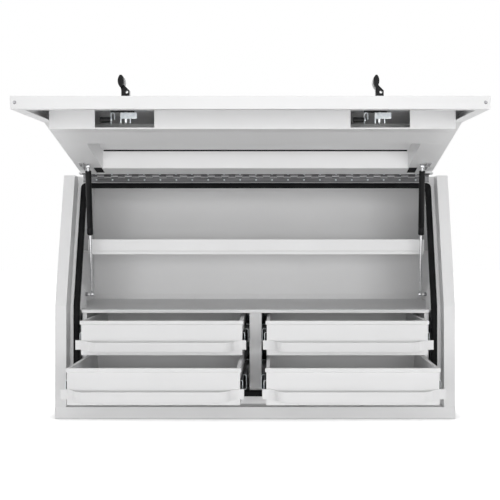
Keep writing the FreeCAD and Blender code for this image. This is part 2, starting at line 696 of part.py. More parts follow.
def latch_base(side):
    """Face plate with round ends outside the skin and a boss that passes through it."""
    left = PLATE_HALF - PLATE_LEFT
    right = PLATE_RIGHT - PLATE_HALF
    plate = latch_box(side, (left, right), (0, PLATE_THICK), (-PLATE_HALF, PLATE_HALF))
    ends = [post_rod(side, PLATE_HALF, x, 0, PLATE_THICK) for x in (left, right)]
    boss = latch_box(side, (-BODY_HALF_X, BODY_HALF_X), (-BODY_DEPTH, 0), (-BODY_HALF_U, BODY_HALF_U))
    clip = CLIP_WIDTH / 2
    hanger = latch_box(side, (-BARREL_OFFSET, -BODY_HALF_X), (-BODY_DEPTH, -SHEET), (-clip, clip))
    bore = post_rod(side, LATCH_SHAFT_RADIUS + LATCH_BORE_CLEAR, 0, -BODY_DEPTH, PLATE_THICK)
    return fuse(plate, boss, hanger, *ends).cut(bore)


def latch_shaft(side):
    """Shaft with a pointed inner end, and the fork above the face plate that holds the handle."""
    foot = PLATE_THICK + FORK_GAP
    tip = latch_point(side, 0, -LATCH_SHAFT_DEPTH, 0)
    shoulder = latch_point(side, 0, LATCH_CONE - LATCH_SHAFT_DEPTH, 0)
    cone = Part.makeCone(LATCH_SHAFT_RADIUS * 0.2, LATCH_SHAFT_RADIUS, LATCH_CONE, tip, shoulder - tip)
    stem = post_rod(side, LATCH_SHAFT_RADIUS, 0, LATCH_CONE - LATCH_SHAFT_DEPTH, foot)
    inside = STEM_HALF + FORK_GAP
    outside = inside + FORK_CHEEK
    disc = latch_box(side, (-FORK_HALF, FORK_HALF), (foot, foot + FORK_FOOT), (-outside, outside))
    pieces = [stem, disc]
    for u in ((-outside, -inside), (inside, outside)):
        pieces.append(latch_box(side, (-FORK_HALF, FORK_HALF), (foot, PIVOT_HEIGHT), u))
        pieces.append(cross_rod(side, FORK_HALF, 0, PIVOT_HEIGHT, u[0], u[1]))
    hole = cross_rod(side, PIVOT_RADIUS, 0, PIVOT_HEIGHT, -outside, outside)
    return fuse(cone, *pieces).cut(hole)


def latch_pin(side):
    reach = STEM_HALF + FORK_GAP + FORK_CHEEK
    return cross_rod(side, PIVOT_RADIUS, 0, PIVOT_HEIGHT, -reach, reach)


def latch_handle(side):
    """Folding grip: a stem with an eye, and a leaf-shaped wing that leans to the left."""
    def at(x, h, u=0):
        return latch_point(side, x, h, u)
    knob = cross_rod(side, STEM_RADIUS, 0, PIVOT_HEIGHT, -STEM_HALF, STEM_HALF)
    outline = [at(-STEM_RADIUS, PIVOT_HEIGHT, -STEM_HALF), at(STEM_RADIUS, PIVOT_HEIGHT, -STEM_HALF),
               at(STEM_RADIUS, STEM_TOP - STEM_RADIUS / 2, -STEM_HALF),
               at(-WING_LEAN / 2, STEM_TOP + STEM_RADIUS, -STEM_HALF),
               at(-STEM_RADIUS - WING_LEAN / 4, STEM_TOP + STEM_RADIUS / 2, -STEM_HALF),
               at(-STEM_RADIUS, STEM_TOP - STEM_RADIUS / 2, -STEM_HALF)]
    stem = prism(outline, V(0, 0, 2 * STEM_HALF))
    root = at(-WING_LEAN, STEM_TOP, -WING_HALF)
    tip = at(-WING_LEAN, WING_TOP, -WING_HALF)
    middle = (STEM_TOP + WING_TOP) / 2
    left = Part.Arc(root, at(-WING_LEAN - WING_THICK / 2, middle, -WING_HALF), tip).toShape()
    right = Part.Arc(tip, at(-WING_LEAN + WING_THICK / 2, middle, -WING_HALF), root).toShape()
    wing = Part.Face(Part.Wire([left, right])).extrude(V(0, 0, 2 * WING_HALF))
    wide = WING_THICK * 2
    swing = WING_TOP - PIVOT_HEIGHT
    trim = rod(swing, at(-WING_LEAN - wide, PIVOT_HEIGHT), at(-WING_LEAN + wide, PIVOT_HEIGHT))
    bore = cross_rod(side, PIVOT_RADIUS + PIN_CLEAR, 0, PIVOT_HEIGHT, -STEM_HALF, STEM_HALF)
    eye = cross_rod(side, GRIP_EYE_RADIUS, STEM_RADIUS / 3, GRIP_EYE_HEIGHT, -STEM_HALF, STEM_HALF)
    return fuse(knob, stem, wing.common(trim)).cut([bore, eye])


def latch_lever(side):
    """Zinc lever on the shaft: a hub, an upright plate and two short legs."""
    top = -LEVER_TOP
    bottom = -LEVER_TOP - LEVER_HEIGHT
    face = -LEVER_HUB
    plate = latch_box(side, (-LEVER_SHORT, LEVER_LONG), (bottom, top), (face, face + LEVER_PLATE))
    hub = post_rod(side, LEVER_HUB, 0, top - LEVER_PLATE * 2, top)
    pieces = [hub]
    for x in (-LEVER_SHORT, LEVER_SHORT):
        leg_x = (x - LEVER_PLATE / 2, x + LEVER_PLATE / 2) if x > 0 else (x, x + LEVER_PLATE)
        pieces.append(latch_box(side, leg_x, (bottom - LEVER_LEG, bottom), (face, face + LEVER_PLATE)))
    bore = post_rod(side, LATCH_SHAFT_RADIUS + LATCH_BORE_CLEAR, 0, bottom, top)
    return fuse(plate, *pieces).cut(bore)


def latch_nut(side):
    """Hexagon nut that keeps the lever on the shaft."""
    high = -LEVER_TOP - LEVER_PLATE * 2
    radius = NUT_FLATS / math.sqrt(3)
    points = []
    for corner in range(6):
        angle = math.radians(60 * corner)
        points.append(latch_point(side, radius * math.cos(angle), high, radius * math.sin(angle)))
    nut = prism(points, V(0, NUT_HEIGHT, 0))
    bore = post_rod(side, LATCH_SHAFT_RADIUS + LATCH_BORE_CLEAR, 0, high - NUT_HEIGHT, high)
    return nut.cut(bore)


def lock_barrel(side):
    """Lock barrel that lies along the lid, held by its clip."""
    start = latch_point(side, -BARREL_OFFSET, -BARREL_DEPTH, 0)
    barrel = rod(BARREL_RADIUS, start - V(BARREL_LENGTH, 0, 0), start)
    rims = [e for e in barrel.Edges if e.Closed]
    return barrel.makeChamfer(BARREL_RADIUS * 0.2, rims)


def lock_clip(side):
    """Bent spring clip from the boss to the lock barrel."""
    half = CLIP_WIDTH / 2
    left = -BARREL_OFFSET
    top = -BODY_DEPTH
    low = top - CLIP_LENGTH
    strap = latch_box(side, (left, left + CLIP_WIRE), (low, top), (-half, half))
    arch = latch_box(side, (left, left + CLIP_WIDTH), (top - CLIP_WIRE, top), (-half, half))
    right = left + CLIP_WIDTH
    tail = latch_box(side, (right - CLIP_WIRE, right), (top - CLIP_LENGTH / 2, top), (-half, half))
    return fuse(strap, arch, tail)


def box_pieces():
    """Pieces of the fixed box."""
    side = side_panel()
    post = slide_post()
    bracket = foot_bracket()
    outers = []
    for hand in (-1, 1):
        for bottom in (LOWER_DRAWER_Z, UPPER_DRAWER_Z):
            outers.extend(slide_pair("outer", hand, bottom, OUTER_SLIDE_Y).Solids)
    body_face = RECESS - LEAF
    return {
        "side_panel_right": side,
        "side_panel_left": mirrored(side),
        "back_panel": back_panel(),
        "floor_panel": floor_panel(),
        "top_panel": top_panel(),
        "front_sill": front_sill(),
        "door_seal": door_seal(),
        "upper_shelf": upper_shelf(),
        "lower_shelf": lower_shelf(),
        "centre_divider": centre_divider(),
        "slide_post_right": post,
        "slide_post_left": mirrored(post),
        "slide_outer_members": Part.makeCompound(outers),
        "strut_brackets": Part.makeCompound([bracket, mirrored(bracket)]),
        "hinge_leaf_body": hinge_leaf(body_face, 0),
        "hinge_pin": hinge_pin(),
        "hinge_screws_body": hinge_screws(body_face, -1),
    }


def lid_pieces():
    """Pieces that swing with the lid."""
    channel = frame_side()
    bracket = head_bracket()
    lid_face = HINGE_DEPTH - KNUCKLE_RADIUS
    shut = {
        "lid_skin": lid_skin(),
        "lid_rivets": lid_rivets(),
        "lid_frame_front": frame_front(),
        "lid_frame_side_right": channel,
        "lid_frame_side_left": mirrored(channel),
        "lid_frame_hinge": frame_hinge(),
        "hinge_leaf_lid": hinge_leaf(lid_face, 1),
        "hinge_screws_lid": hinge_screws(lid_face + LEAF, 1),
        "lock_barrels": Part.makeCompound([lock_barrel(-1), lock_barrel(1)]),
        "lock_clips": Part.makeCompound([lock_clip(-1), lock_clip(1)]),
    }
    pieces = {name: swung_open(shape) for name, shape in shut.items()}
    pieces["lid_strut_brackets"] = Part.makeCompound([bracket, mirrored(bracket)])
    return pieces


def latch_pieces():
    """The two latches, which are alike and not mirrored."""
    pieces = {}
    for side, word in ((-1, "left"), (1, "right")):
        pieces["latch_base_" + word] = swung_open(latch_base(side))
        pieces["latch_shaft_" + word] = swung_open(latch_shaft(side))
        pieces["latch_lever_" + word] = swung_open(latch_lever(side))
        pieces["latch_nut_" + word] = swung_open(latch_nut(side))
        pieces["latch_pin_" + word] = swung_open(latch_pin(side))
        pieces["latch_handle_" + word] = swung_open(latch_handle(side))
    return pieces


def strut_pieces():
    tube = strut_cylinder()
    bar = strut_rod()
    return {
        "strut_cylinder_right": tube,
        "strut_cylinder_left": mirrored(tube),
        "strut_rod_right": bar,
        "strut_rod_left": mirrored(bar),
    }


def drawer_pieces():
    """Four drawers with their handles and the moving members of their slides."""
    pieces = {}
    levels = (("upper", UPPER_DRAWER_Z, UPPER_PULL), ("lower", LOWER_DRAWER_Z, LOWER_PULL))
    for side, hand in ((-1, "left"), (1, "right")):
        for level, bottom, pull in levels:
            name = level + "_" + hand
            pieces["drawer_" + name] = drawer_tray(side, bottom, pull)
            pieces["drawer_handle_" + name] = drawer_handle(side, bottom, pull)
            pieces["slide_inner_" + name] = slide_pair("inner", side, bottom, SLIDE_Y - pull)
            pieces["slide_middle_" + name] = slide_pair("middle", side, bottom, SLIDE_Y - pull + STAGE_PULL)
    return pieces


def main():
    os.makedirs("parts", exist_ok=True)
    pieces = {}
    for group in (box_pieces(), lid_pieces(), latch_pieces(), strut_pieces(), drawer_pieces()):
        pieces.update(group)
    for name, shape in pieces.items():
        shape.exportStep("parts/" + name + ".step")
    print(len(pieces), "pieces")


main()
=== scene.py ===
import json
import math

import bmesh
import bpy
from mathutils import Matrix, Vector


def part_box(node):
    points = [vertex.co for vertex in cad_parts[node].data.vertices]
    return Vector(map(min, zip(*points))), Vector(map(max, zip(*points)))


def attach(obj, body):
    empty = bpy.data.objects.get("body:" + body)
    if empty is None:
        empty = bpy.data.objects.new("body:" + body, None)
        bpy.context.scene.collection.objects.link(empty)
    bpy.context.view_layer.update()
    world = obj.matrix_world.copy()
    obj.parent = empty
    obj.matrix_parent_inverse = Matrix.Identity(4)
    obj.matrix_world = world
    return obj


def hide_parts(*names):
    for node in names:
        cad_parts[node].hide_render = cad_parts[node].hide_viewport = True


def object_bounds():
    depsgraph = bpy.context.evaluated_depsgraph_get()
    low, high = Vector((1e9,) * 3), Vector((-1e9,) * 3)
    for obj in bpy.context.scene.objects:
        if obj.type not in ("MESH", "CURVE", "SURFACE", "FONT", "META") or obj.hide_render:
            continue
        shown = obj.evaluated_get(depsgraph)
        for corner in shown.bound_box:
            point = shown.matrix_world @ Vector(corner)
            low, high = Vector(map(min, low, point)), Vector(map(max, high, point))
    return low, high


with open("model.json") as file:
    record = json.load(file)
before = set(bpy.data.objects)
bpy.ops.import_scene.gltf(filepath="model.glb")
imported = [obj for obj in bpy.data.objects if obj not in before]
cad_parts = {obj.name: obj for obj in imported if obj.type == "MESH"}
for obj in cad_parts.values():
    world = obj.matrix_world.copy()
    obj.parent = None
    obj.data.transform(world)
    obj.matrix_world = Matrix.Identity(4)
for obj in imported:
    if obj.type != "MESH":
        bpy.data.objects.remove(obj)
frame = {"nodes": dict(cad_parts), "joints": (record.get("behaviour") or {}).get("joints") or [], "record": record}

bl_info = {
    "name": "Truck Toolbox",
    "version": (1, 0, 0),
    "blender": (4, 5, 0),
    "location": "3D View > Sidebar > Toolbox",
    "description": "Dresses a steel truck toolbox with its lid, shelves and drawers, and sets its stage",
    "category": "Object",
}

NODES = frame["nodes"]
BODIES = frame["record"]["behaviour"]["bodies"]
SLOT_OF = {entry["node"]: entry["material_slot"] for entry in frame["record"]["subparts"]}
CAD_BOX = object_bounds()

JOINTS = {joint["name"]: joint for joint in frame["joints"]}

UP = Vector((0.0, 0.0, 1.0))
SIDES = ("left", "right")
DRAWERS = ("upper_left", "upper_right", "lower_left", "lower_right")

# Corners nearer than this are one, on a CAD node and along the seam of a turned shape
CORNER_GAP = 0.00001
SEAM_GAP = 0.000005

# Share of the fold radius that rounds the edges of drawers, struts and latches, and bare metal
DRAWER_SHARE = 0.7
HARDWARE_SHARE = 0.4
METAL_SHARE = 0.3

# The upper front of the box leans back by this run over this rise
LEAN = math.atan2(0.108, 0.400)
# The lid stands open by this angle
LID_OPEN = math.radians(88.0)
LID_TURN = Matrix.Rotation(-LID_OPEN, 3, "X")
FACE_OUT = Vector((0.0, -math.cos(LEAN), math.sin(LEAN)))
LID_INWARD = LID_TURN @ -FACE_OUT
LID_DOWN = LID_TURN @ Vector((0.0, -math.sin(LEAN), -math.cos(LEAN)))

# Depths of the hinge and of the inner frame behind the lid's skin
HINGE_DEPTH = 0.046
FRAME_DEPTH = 0.055

# Slide rails: wall, radius of the wide bends, lip of the outer rails and its bends, and how far
# the middle of a drawer lies from the middle of the box
RAIL_WALL = 0.0013
RAIL_BEND = 0.0035
RAIL_LIP = 0.0022
LIP_BEND = 0.0012
DRAWER_MIDDLE = 0.27

# Drawer pulls: wall, length of the bends, room between their ends and the posts
PULL_WALL = 0.003
PULL_BEND = 0.014
POST_GAP = 0.0008

# Drawer rims: depth, how far they stand proud of and above the tray, corners and edges
RIM_DEPTH = 0.006
RIM_PROUD = 0.0012
RIM_ABOVE = 0.0004
RIM_CORNER = 0.0028
RIM_EDGE = 0.0016

# Heights of the screw and rivet heads
HEAD_HEIGHT = 0.001
RIVET_HEIGHT = 0.0012

# Gas struts: eye at the foot, rod, length of the sockets' necks, half width of a socket, hexagon nut
FOOT_EYE = 0.006
ROD_RADIUS = 0.004
ROD_LENGTH = 0.2055
HEAD_NECK = 0.014
FOOT_NECK = 0.012
SOCKET_HALF = 0.0055
NUT_RADIUS = 0.0062
NUT_LENGTH = 0.007
NUT_PLACE = 0.0165
NUT_EDGE = 0.0006

# Latches: place, arch and legs of a clip, places of its collar and of the clamp plates
CLIP_PLACE = (-0.0345, 0.0, -0.0155)
CLIP_ARCH = 0.0047
CLIP_LEGS = (0.027, 0.013)
COLLAR_PLACE = (-0.040, 0.0, -0.029)
COLLAR_PROFILE = ((0.0, 0.0), (0.0052, 0.0), (0.0062, 0.001), (0.0062, 0.003), (0.0052, 0.004), (0.0, 0.004))
CLAMP_OUT = 0.0365
CLAMP_DEPTH = 0.0036
CLAMP_SIZE = (0.032, 0.030, 0.003)
CLAMP_CORNER = 0.004

# Slot pads: distance from the middle and down the lid, depth in the frame, size, ribs
PAD_OUT = 0.482
PAD_DOWN = 0.085
PAD_DEPTH = 0.004
PAD_WIDTH = 0.025
PAD_LENGTH = 0.056
PAD_STRIPS = 15
PAD_RIB = 0.0025
PAD_WALL = 0.001

# Painted shadow strip, a dark rubber strip in place of the shadow gap where the hinge channel meets the lid's
# sheet: place on the lid, room at its ends, height, depth and corners
SHADOW_STRIP_DOWN = 0.1242
SHADOW_STRIP_DEPTH = 0.0036
SHADOW_STRIP_ROOM = 0.008
SHADOW_STRIP_SIZE = (0.0032, 0.0034)
SHADOW_STRIP_CORNER = 0.0014

# Floor: half its width, how far it lies below the box, its own glow to the camera, and the reach
# and power of the shade round the box
FLOOR_HALF = 12.0
FLOOR_BELOW = 0.0005
FLOOR_GLOW = 0.93
SHADE_REACH = 0.07
SHADE_POWER = 1.8


class BoxFinish(bpy.types.PropertyGroup):
    """Colours of the painted and plated pieces."""

    coat_colour: bpy.props.FloatVectorProperty(
        name="Powder coat", description="White coat of the box, lid and drawers",
        subtype="COLOR", default=(0.86, 0.86, 0.863), min=0.0, max=1.0)
    coat_grain: bpy.props.FloatProperty(
        name="Coat grain", description="Grains of the powder coat per metre",
        default=650.0, min=50.0)
    rubber_colour: bpy.props.FloatVectorProperty(
        name="Rubber", description="Seal round the opening",
        subtype="COLOR", default=(0.006, 0.006, 0.0065), min=0.0, max=1.0)
    zinc_colour: bpy.props.FloatVectorProperty(
        name="Zinc", description="Plated metal of the latches and the struts' sockets",
        subtype="COLOR", default=(0.62, 0.63, 0.64), min=0.0, max=1.0)
    hinge_colour: bpy.props.FloatVectorProperty(
        name="Hinge steel",
        description="Bare rolled steel of the hinge's body leaf, the rivets and the stud nuts",
        subtype="COLOR", default=(0.26, 0.26, 0.268), min=0.0, max=1.0)
    black_colour: bpy.props.FloatVectorProperty(
        name="Black paint", description="Strut tubes and latch grips",
        subtype="COLOR", default=(0.007, 0.007, 0.0075), min=0.0, max=1.0)
    fold_radius: bpy.props.FloatProperty(
        name="Fold radius", description="Rounding of the folded sheet edges",
        subtype="DISTANCE", unit="LENGTH", default=0.0009, min=0.0)


class BoxDetails(bpy.types.PropertyGroup):
    """Sizes of the pieces that are made here."""

    seal_round: bpy.props.FloatProperty(
        name="Seal rounding", description="Rounding of the seal's front edges",
        subtype="DISTANCE", unit="LENGTH", default=0.006, min=0.0)
    head_radius: bpy.props.FloatProperty(
        name="Screw head", description="Radius of the hinge screws' heads",
        subtype="DISTANCE", unit="LENGTH", default=0.0031, min=0.001)
    rivet_radius: bpy.props.FloatProperty(
        name="Rivet head", description="Radius of the rivet at each lower corner of the lid",
        subtype="DISTANCE", unit="LENGTH", default=0.0044, min=0.001)
    tube_radius: bpy.props.FloatProperty(
        name="Strut tube", description="Radius of the gas struts' pressure tubes",
        subtype="DISTANCE", unit="LENGTH", default=0.009, min=0.006)
    socket_radius: bpy.props.FloatProperty(
        name="Strut socket", description="Radius of the ball sockets at the struts' ends",
        subtype="DISTANCE", unit="LENGTH", default=0.0058, min=0.004)
    wire_radius: bpy.props.FloatProperty(
        name="Clip wire", description="Radius of the lock clips' spring wire",
        subtype="DISTANCE", unit="LENGTH", default=0.0013, min=0.0005)
    pull_height: bpy.props.FloatProperty(
        name="Pull height", description="Height of the drawers' strip pulls",
        subtype="DISTANCE", unit="LENGTH", default=0.0272, min=0.01)
    pull_tab: bpy.props.FloatProperty(
        name="Pull end", description="Length of a pull's flat end on the drawer front",
        subtype="DISTANCE", unit="LENGTH", default=0.026, min=0.018)
    pull_ramp: bpy.props.FloatProperty(
        name="Pull ramp", description="Length of the ramp between a pull's end and its grip",
        subtype="DISTANCE", unit="LENGTH", default=0.026, min=0.018)
    pull_rise: bpy.props.FloatProperty(
        name="Pull rise", description="Height of a pull's ends above its grip",
        subtype="DISTANCE", unit="LENGTH", default=0.0034, min=0.0)
    rim_height: bpy.props.FloatProperty(
        name="Rim height", description="Height of the rolled rim along a drawer front",
        subtype="DISTANCE", unit="LENGTH", default=0.0115, min=0.006)
    rim_overhang: bpy.props.FloatProperty(
        name="Rim overhang", description="Length of the rolled rim past each side of its drawer",
        subtype="DISTANCE", unit="LENGTH", default=0.0035, min=0.0)


class StageSettings(bpy.types.PropertyGroup):
    """Camera and light."""

    eye: bpy.props.FloatVectorProperty(
        name="Eye", description="Where the camera stands",
        subtype="XYZ", unit="LENGTH", default=(0.0522, -2.75, 0.5295))
    lens: bpy.props.FloatProperty(
        name="Lens", description="Focal length in millimetres on a 36 mm sensor", default=59.58, min=10.0)
    shift: bpy.props.FloatVectorProperty(
        name="Shift", description="Lens shift as a share of the image", size=2, default=(-0.045, -0.016))
    roll: bpy.props.FloatProperty(
        name="Roll", description="Turn of the camera about its own line of sight",
        subtype="ANGLE", unit="ROTATION", default=0.0)
    key_power: bpy.props.FloatProperty(
        name="Key light", description="Power of the large front light in watts", default=168.0, min=0.0)
    bounce_power: bpy.props.FloatProperty(
        name="Bounce light", description="Power of the low light that reaches under the lid, in watts",
        default=14.0, min=0.0)
    high_power: bpy.props.FloatProperty(
        name="High light", description="Power of the raised front light in watts", default=50.0, min=0.0)
    side_power: bpy.props.FloatProperty(
        name="Side lights", description="Power of the lights at the sides and behind, in watts",
        default=100.0, min=0.0)
    top_power: bpy.props.FloatProperty(
        name="Top light", description="Power of the light overhead in watts", default=56.0, min=0.0)
    sky_strength: bpy.props.FloatProperty(
        name="Sky", description="Strength of the even light from all round", default=0.18, min=0.0)


# Materials

def new_material(name):
    """A new material, its node tree, its surface shader and the object coordinates."""
    material = bpy.data.materials.new(name)
    material.use_nodes = True
    tree = material.node_tree
    tree.nodes.clear()
    output = tree.nodes.new("ShaderNodeOutputMaterial")
    shader = tree.nodes.new("ShaderNodeBsdfPrincipled")
    tree.links.new(shader.outputs["BSDF"], output.inputs["Surface"])
    place = tree.nodes.new("ShaderNodeTexCoord").outputs["Object"]
    return material, tree, shader, place


def noise(tree, place, scale, detail=3.0, stretch=None):
    """A noise pattern on object coordinates, stretched along an axis if asked."""
    if stretch:
        mapping = tree.nodes.new("ShaderNodeMapping")
        mapping.inputs["Scale"].default_value = stretch
        tree.links.new(place, mapping.inputs["Vector"])
        place = mapping.outputs["Vector"]
    node = tree.nodes.new("ShaderNodeTexNoise")
    node.inputs["Scale"].default_value = scale
    node.inputs["Detail"].default_value = detail
    tree.links.new(place, node.inputs["Vector"])
    return node.outputs["Fac"]


def ramp(tree, factor, low, high, start=0.3, end=0.7):
    """Two colours blended by a factor."""
    node = tree.nodes.new("ShaderNodeValToRGB")
    node.color_ramp.elements[0].position = start
    node.color_ramp.elements[1].position = end
    node.color_ramp.elements[0].color = (*low, 1.0)
    node.color_ramp.elements[1].color = (*high, 1.0)
    tree.links.new(factor, node.inputs["Fac"])
    return node.outputs["Color"]


def spread(tree, factor, low, high):
    """A factor mapped between two values."""
    node = tree.nodes.new("ShaderNodeMapRange")
    node.inputs["To Min"].default_value = low
    node.inputs["To Max"].default_value = high
    tree.links.new(factor, node.inputs["Value"])
    return node.outputs["Result"]


def bump(tree, shader, height, strength, distance):
    """A fine relief on the shader's normal."""
    node = tree.nodes.new("ShaderNodeBump")
    node.inputs["Strength"].default_value = strength
    node.inputs["Distance"].default_value = distance
    tree.links.new(height, node.inputs["Height"])
    tree.links.new(node.outputs["Normal"], shader.inputs["Normal"])


def shade(colour, factor):
    """A colour made darker or lighter by a factor."""
    return tuple(min(1.0, channel * factor) for channel in colour)


def powder_coat():
    """White powder coat: a fine even grain, with faint clouds of tone."""
    finish = bpy.context.scene.toolbox_finish
    material, tree, shader, place = new_material("white_powder_coat")
    colour = tuple(finish.coat_colour)
    clouds = noise(tree, place, 3.0, 4.0)
    tree.links.new(ramp(tree, clouds, shade(colour, 0.97), shade(colour, 1.02)), shader.inputs["Base Color"])
    tree.links.new(spread(tree, noise(tree, place, 9.0), 0.36, 0.46), shader.inputs["Roughness"])
    bump(tree, shader, noise(tree, place, finish.coat_grain, 2.0), 0.12, 0.0003)
    return material


def seal_rubber():
    """Matt black rubber with a slight bloom."""
    colour = tuple(bpy.context.scene.toolbox_finish.rubber_colour)
    material, tree, shader, place = new_material("black_seal_rubber")
    bloom = noise(tree, place, 26.0, 5.0)
    tree.links.new(ramp(tree, bloom, shade(colour, 0.8), shade(colour, 1.8)), shader.inputs["Base Color"])
    tree.links.new(spread(tree, noise(tree, place, 60.0), 0.6, 0.8), shader.inputs["Roughness"])
    shader.inputs["Specular IOR Level"].default_value = 0.1
    bump(tree, shader, noise(tree, place, 900.0), 0.15, 0.0003)
    return material


def zinc_plate():
    """Zinc-plated steel with fine drawn lines along its length."""
    colour = tuple(bpy.context.scene.toolbox_finish.zinc_colour)
    material, tree, shader, place = new_material("zinc_plate")
    shader.inputs["Metallic"].default_value = 1.0
    lines = noise(tree, place, 500.0, 3.0, (1.0, 0.03, 1.0))
    patches = noise(tree, place, 40.0, 4.0)
    tree.links.new(ramp(tree, patches, shade(colour, 0.85), shade(colour, 1.1)), shader.inputs["Base Color"])
    tree.links.new(spread(tree, lines, 0.28, 0.48), shader.inputs["Roughness"])
    bump(tree, shader, lines, 0.08, 0.0002)
    return material


def bright_zinc():
    """Fresh blue-white zinc on the latches' small pressed pieces and the hinge screws; on the slide rails' rims it
    is a painted highlight.
    """
    material, tree, shader, place = new_material("bright_blue_zinc")
    shader.inputs["Metallic"].default_value = 0.55
    blush = noise(tree, place, 120.0, 4.0)
    tree.links.new(ramp(tree, blush, (0.66, 0.72, 0.76), (0.86, 0.89, 0.90)), shader.inputs["Base Color"])
    tree.links.new(spread(tree, blush, 0.26, 0.4), shader.inputs["Roughness"])
    bump(tree, shader, noise(tree, place, 1400.0, 2.0), 0.08, 0.0002)
    return material


def shade_dark_steel():
    """Dark steel of the slide rails and the hinge's lid leaf, with long drawn lines; its darkness is painted
    shade, in place of the deep shade beside the drawers and the shadow gap above the hinge.
    """
    material, tree, shader, place = new_material("painted_shade_steel")
    shader.inputs["Metallic"].default_value = 1.0
    lines = noise(tree, place, 420.0, 3.0, (1.0, 0.03, 1.0))
    # Painted shade: the dark base colour stands in for the deep shade beside the drawers and above the hinge
    tree.links.new(ramp(tree, lines, (0.07, 0.07, 0.073), (0.14, 0.14, 0.145)), shader.inputs["Base Color"])
    tree.links.new(spread(tree, lines, 0.24, 0.4), shader.inputs["Roughness"])
    bump(tree, shader, lines, 0.08, 0.0002)
    return material


def bracket_shade_grey():
    """Grey coat of the upper strut brackets, a painted shade: grey so that their lit faces take the tone of the
    shaded lid underside round them.
    """
    material, tree, shader, place = new_material("bracket_painted_shade_coat")
    crystals = noise(tree, place, 700.0, 4.0)
    # Painted shade: the grey stands in for the shade of the lid underside
    tree.links.new(ramp(tree, crystals, (0.26, 0.26, 0.265), (0.36, 0.36, 0.365)),
                   shader.inputs["Base Color"])
    tree.links.new(spread(tree, crystals, 0.5, 0.7), shader.inputs["Roughness"])
    bump(tree, shader, crystals, 0.1, 0.0002)
    return material


def hinge_steel():
    """Rolled steel of the hinge's body leaf: darker than the zinc, with long rolling streaks."""
    colour = tuple(bpy.context.scene.toolbox_finish.hinge_colour)
    material, tree, shader, place = new_material("rolled_hinge_steel")
    shader.inputs["Metallic"].default_value = 1.0
    streaks = noise(tree, place, 260.0, 4.0, (0.04, 1.0, 1.0))
    tree.links.new(ramp(tree, streaks, shade(colour, 0.8), shade(colour, 1.3)), shader.inputs["Base Color"])
    tree.links.new(spread(tree, streaks, 0.36, 0.52), shader.inputs["Roughness"])
    bump(tree, shader, streaks, 0.06, 0.0002)
    return material


def bright_chrome():
    """Polished rod with faint turning marks."""
    material, tree, shader, place = new_material("bright_chrome")
    shader.inputs["Metallic"].default_value = 1.0
    marks = noise(tree, place, 300.0, 2.0, (0.2, 0.2, 1.0))
    tree.links.new(ramp(tree, marks, (0.74, 0.75, 0.76), (0.86, 0.86, 0.87)), shader.inputs["Base Color"])
    tree.links.new(spread(tree, marks, 0.24, 0.36), shader.inputs["Roughness"])
    return material


def satin_black():
    """Satin black paint with a light orange peel."""
    colour = tuple(bpy.context.scene.toolbox_finish.black_colour)
    material, tree, shader, place = new_material("satin_black_paint")
    clouds = noise(tree, place, 30.0, 4.0)
    tree.links.new(ramp(tree, clouds, shade(colour, 0.8), shade(colour, 1.6)), shader.inputs["Base Color"])
    tree.links.new(spread(tree, clouds, 0.34, 0.48), shader.inputs["Roughness"])
    shader.inputs["Specular IOR Level"].default_value = 0.12
    bump(tree, shader, noise(tree, place, 420.0, 2.0), 0.1, 0.0002)
    return material


def moulded_black():
    """Moulded black plastic with a sparked grain."""
    material, tree, shader, place = new_material("moulded_black_plastic")
    clouds = noise(tree, place, 50.0, 3.0)
    tree.links.new(ramp(tree, clouds, (0.007, 0.007, 0.0075), (0.016, 0.016, 0.017)),
                   shader.inputs["Base Color"])
    tree.links.new(spread(tree, clouds, 0.42, 0.58), shader.inputs["Roughness"])
    shader.inputs["Specular IOR Level"].default_value = 0.3
    bump(tree, shader, noise(tree, place, 1100.0, 2.0), 0.2, 0.0002)
    return material


FINISHES = {
    "white_coat": powder_coat,
    "seal_rubber": seal_rubber,
    "zinc": zinc_plate,
    "hinge_steel": hinge_steel,
    "bright_zinc": bright_zinc,
    "bracket_shade_grey": bracket_shade_grey,
    "shade_dark_steel": shade_dark_steel,
    "rod_chrome": bright_chrome,
    "black_paint": satin_black,
    "black_plastic": moulded_black,
}
# Finishes made so far, by name
MADE = {}

# Nodes whose finish in the photograph differs from their slot's
OWN_FINISH = {
    "strut_brackets": "white_coat",
    # Painted shade: the upper strut brackets are made grey to match the shaded lid underside
    "lid_strut_brackets": "bracket_shade_grey",
    "hinge_leaf_body": "hinge_steel",
    # Painted shade: the hinge's lid leaf is made dark to stand in for the shadow gap between the lid's channel and
    # the knuckles
    "hinge_leaf_lid": "shade_dark_steel",
    "hinge_pin": "hinge_steel",
}
for side in SIDES:
    OWN_FINISH["latch_lever_" + side] = "bright_zinc"
    OWN_FINISH["latch_nut_" + side] = "bright_zinc"


def finish_of(name):
    """A finish by its name, made once."""
    if name not in MADE:
        MADE[name] = FINISHES[name]()
    return MADE[name]


def dress(node, fold=None):
    """Gives a CAD node its finish and, where asked, rounded edges."""
    piece = NODES[node]
    piece.data.materials.clear()
    piece.data.materials.append(finish_of(OWN_FINISH.get(node, SLOT_OF[node])))
    if fold:
        weld = piece.modifiers.new("Weld", "WELD")
        weld.merge_threshold = CORNER_GAP
        round_edges(piece, fold, 2, 30.0)


def dress_body(body, fold):
    """Finishes a body's nodes, with wide folds on painted sheet and narrow ones on the rest."""
    for node in BODIES[body]:
        dress(node, fold if SLOT_OF[node] == "white_coat" else fold * METAL_SHARE)


def round_edges(piece, width, segments, angle):
    """Rounds a piece's edges that are sharper than an angle in degrees."""
    edge = piece.modifiers.new("Edges", "BEVEL")
    edge.width = width
    edge.segments = segments
    edge.limit_method = "ANGLE"
    edge.angle_limit = math.radians(angle)


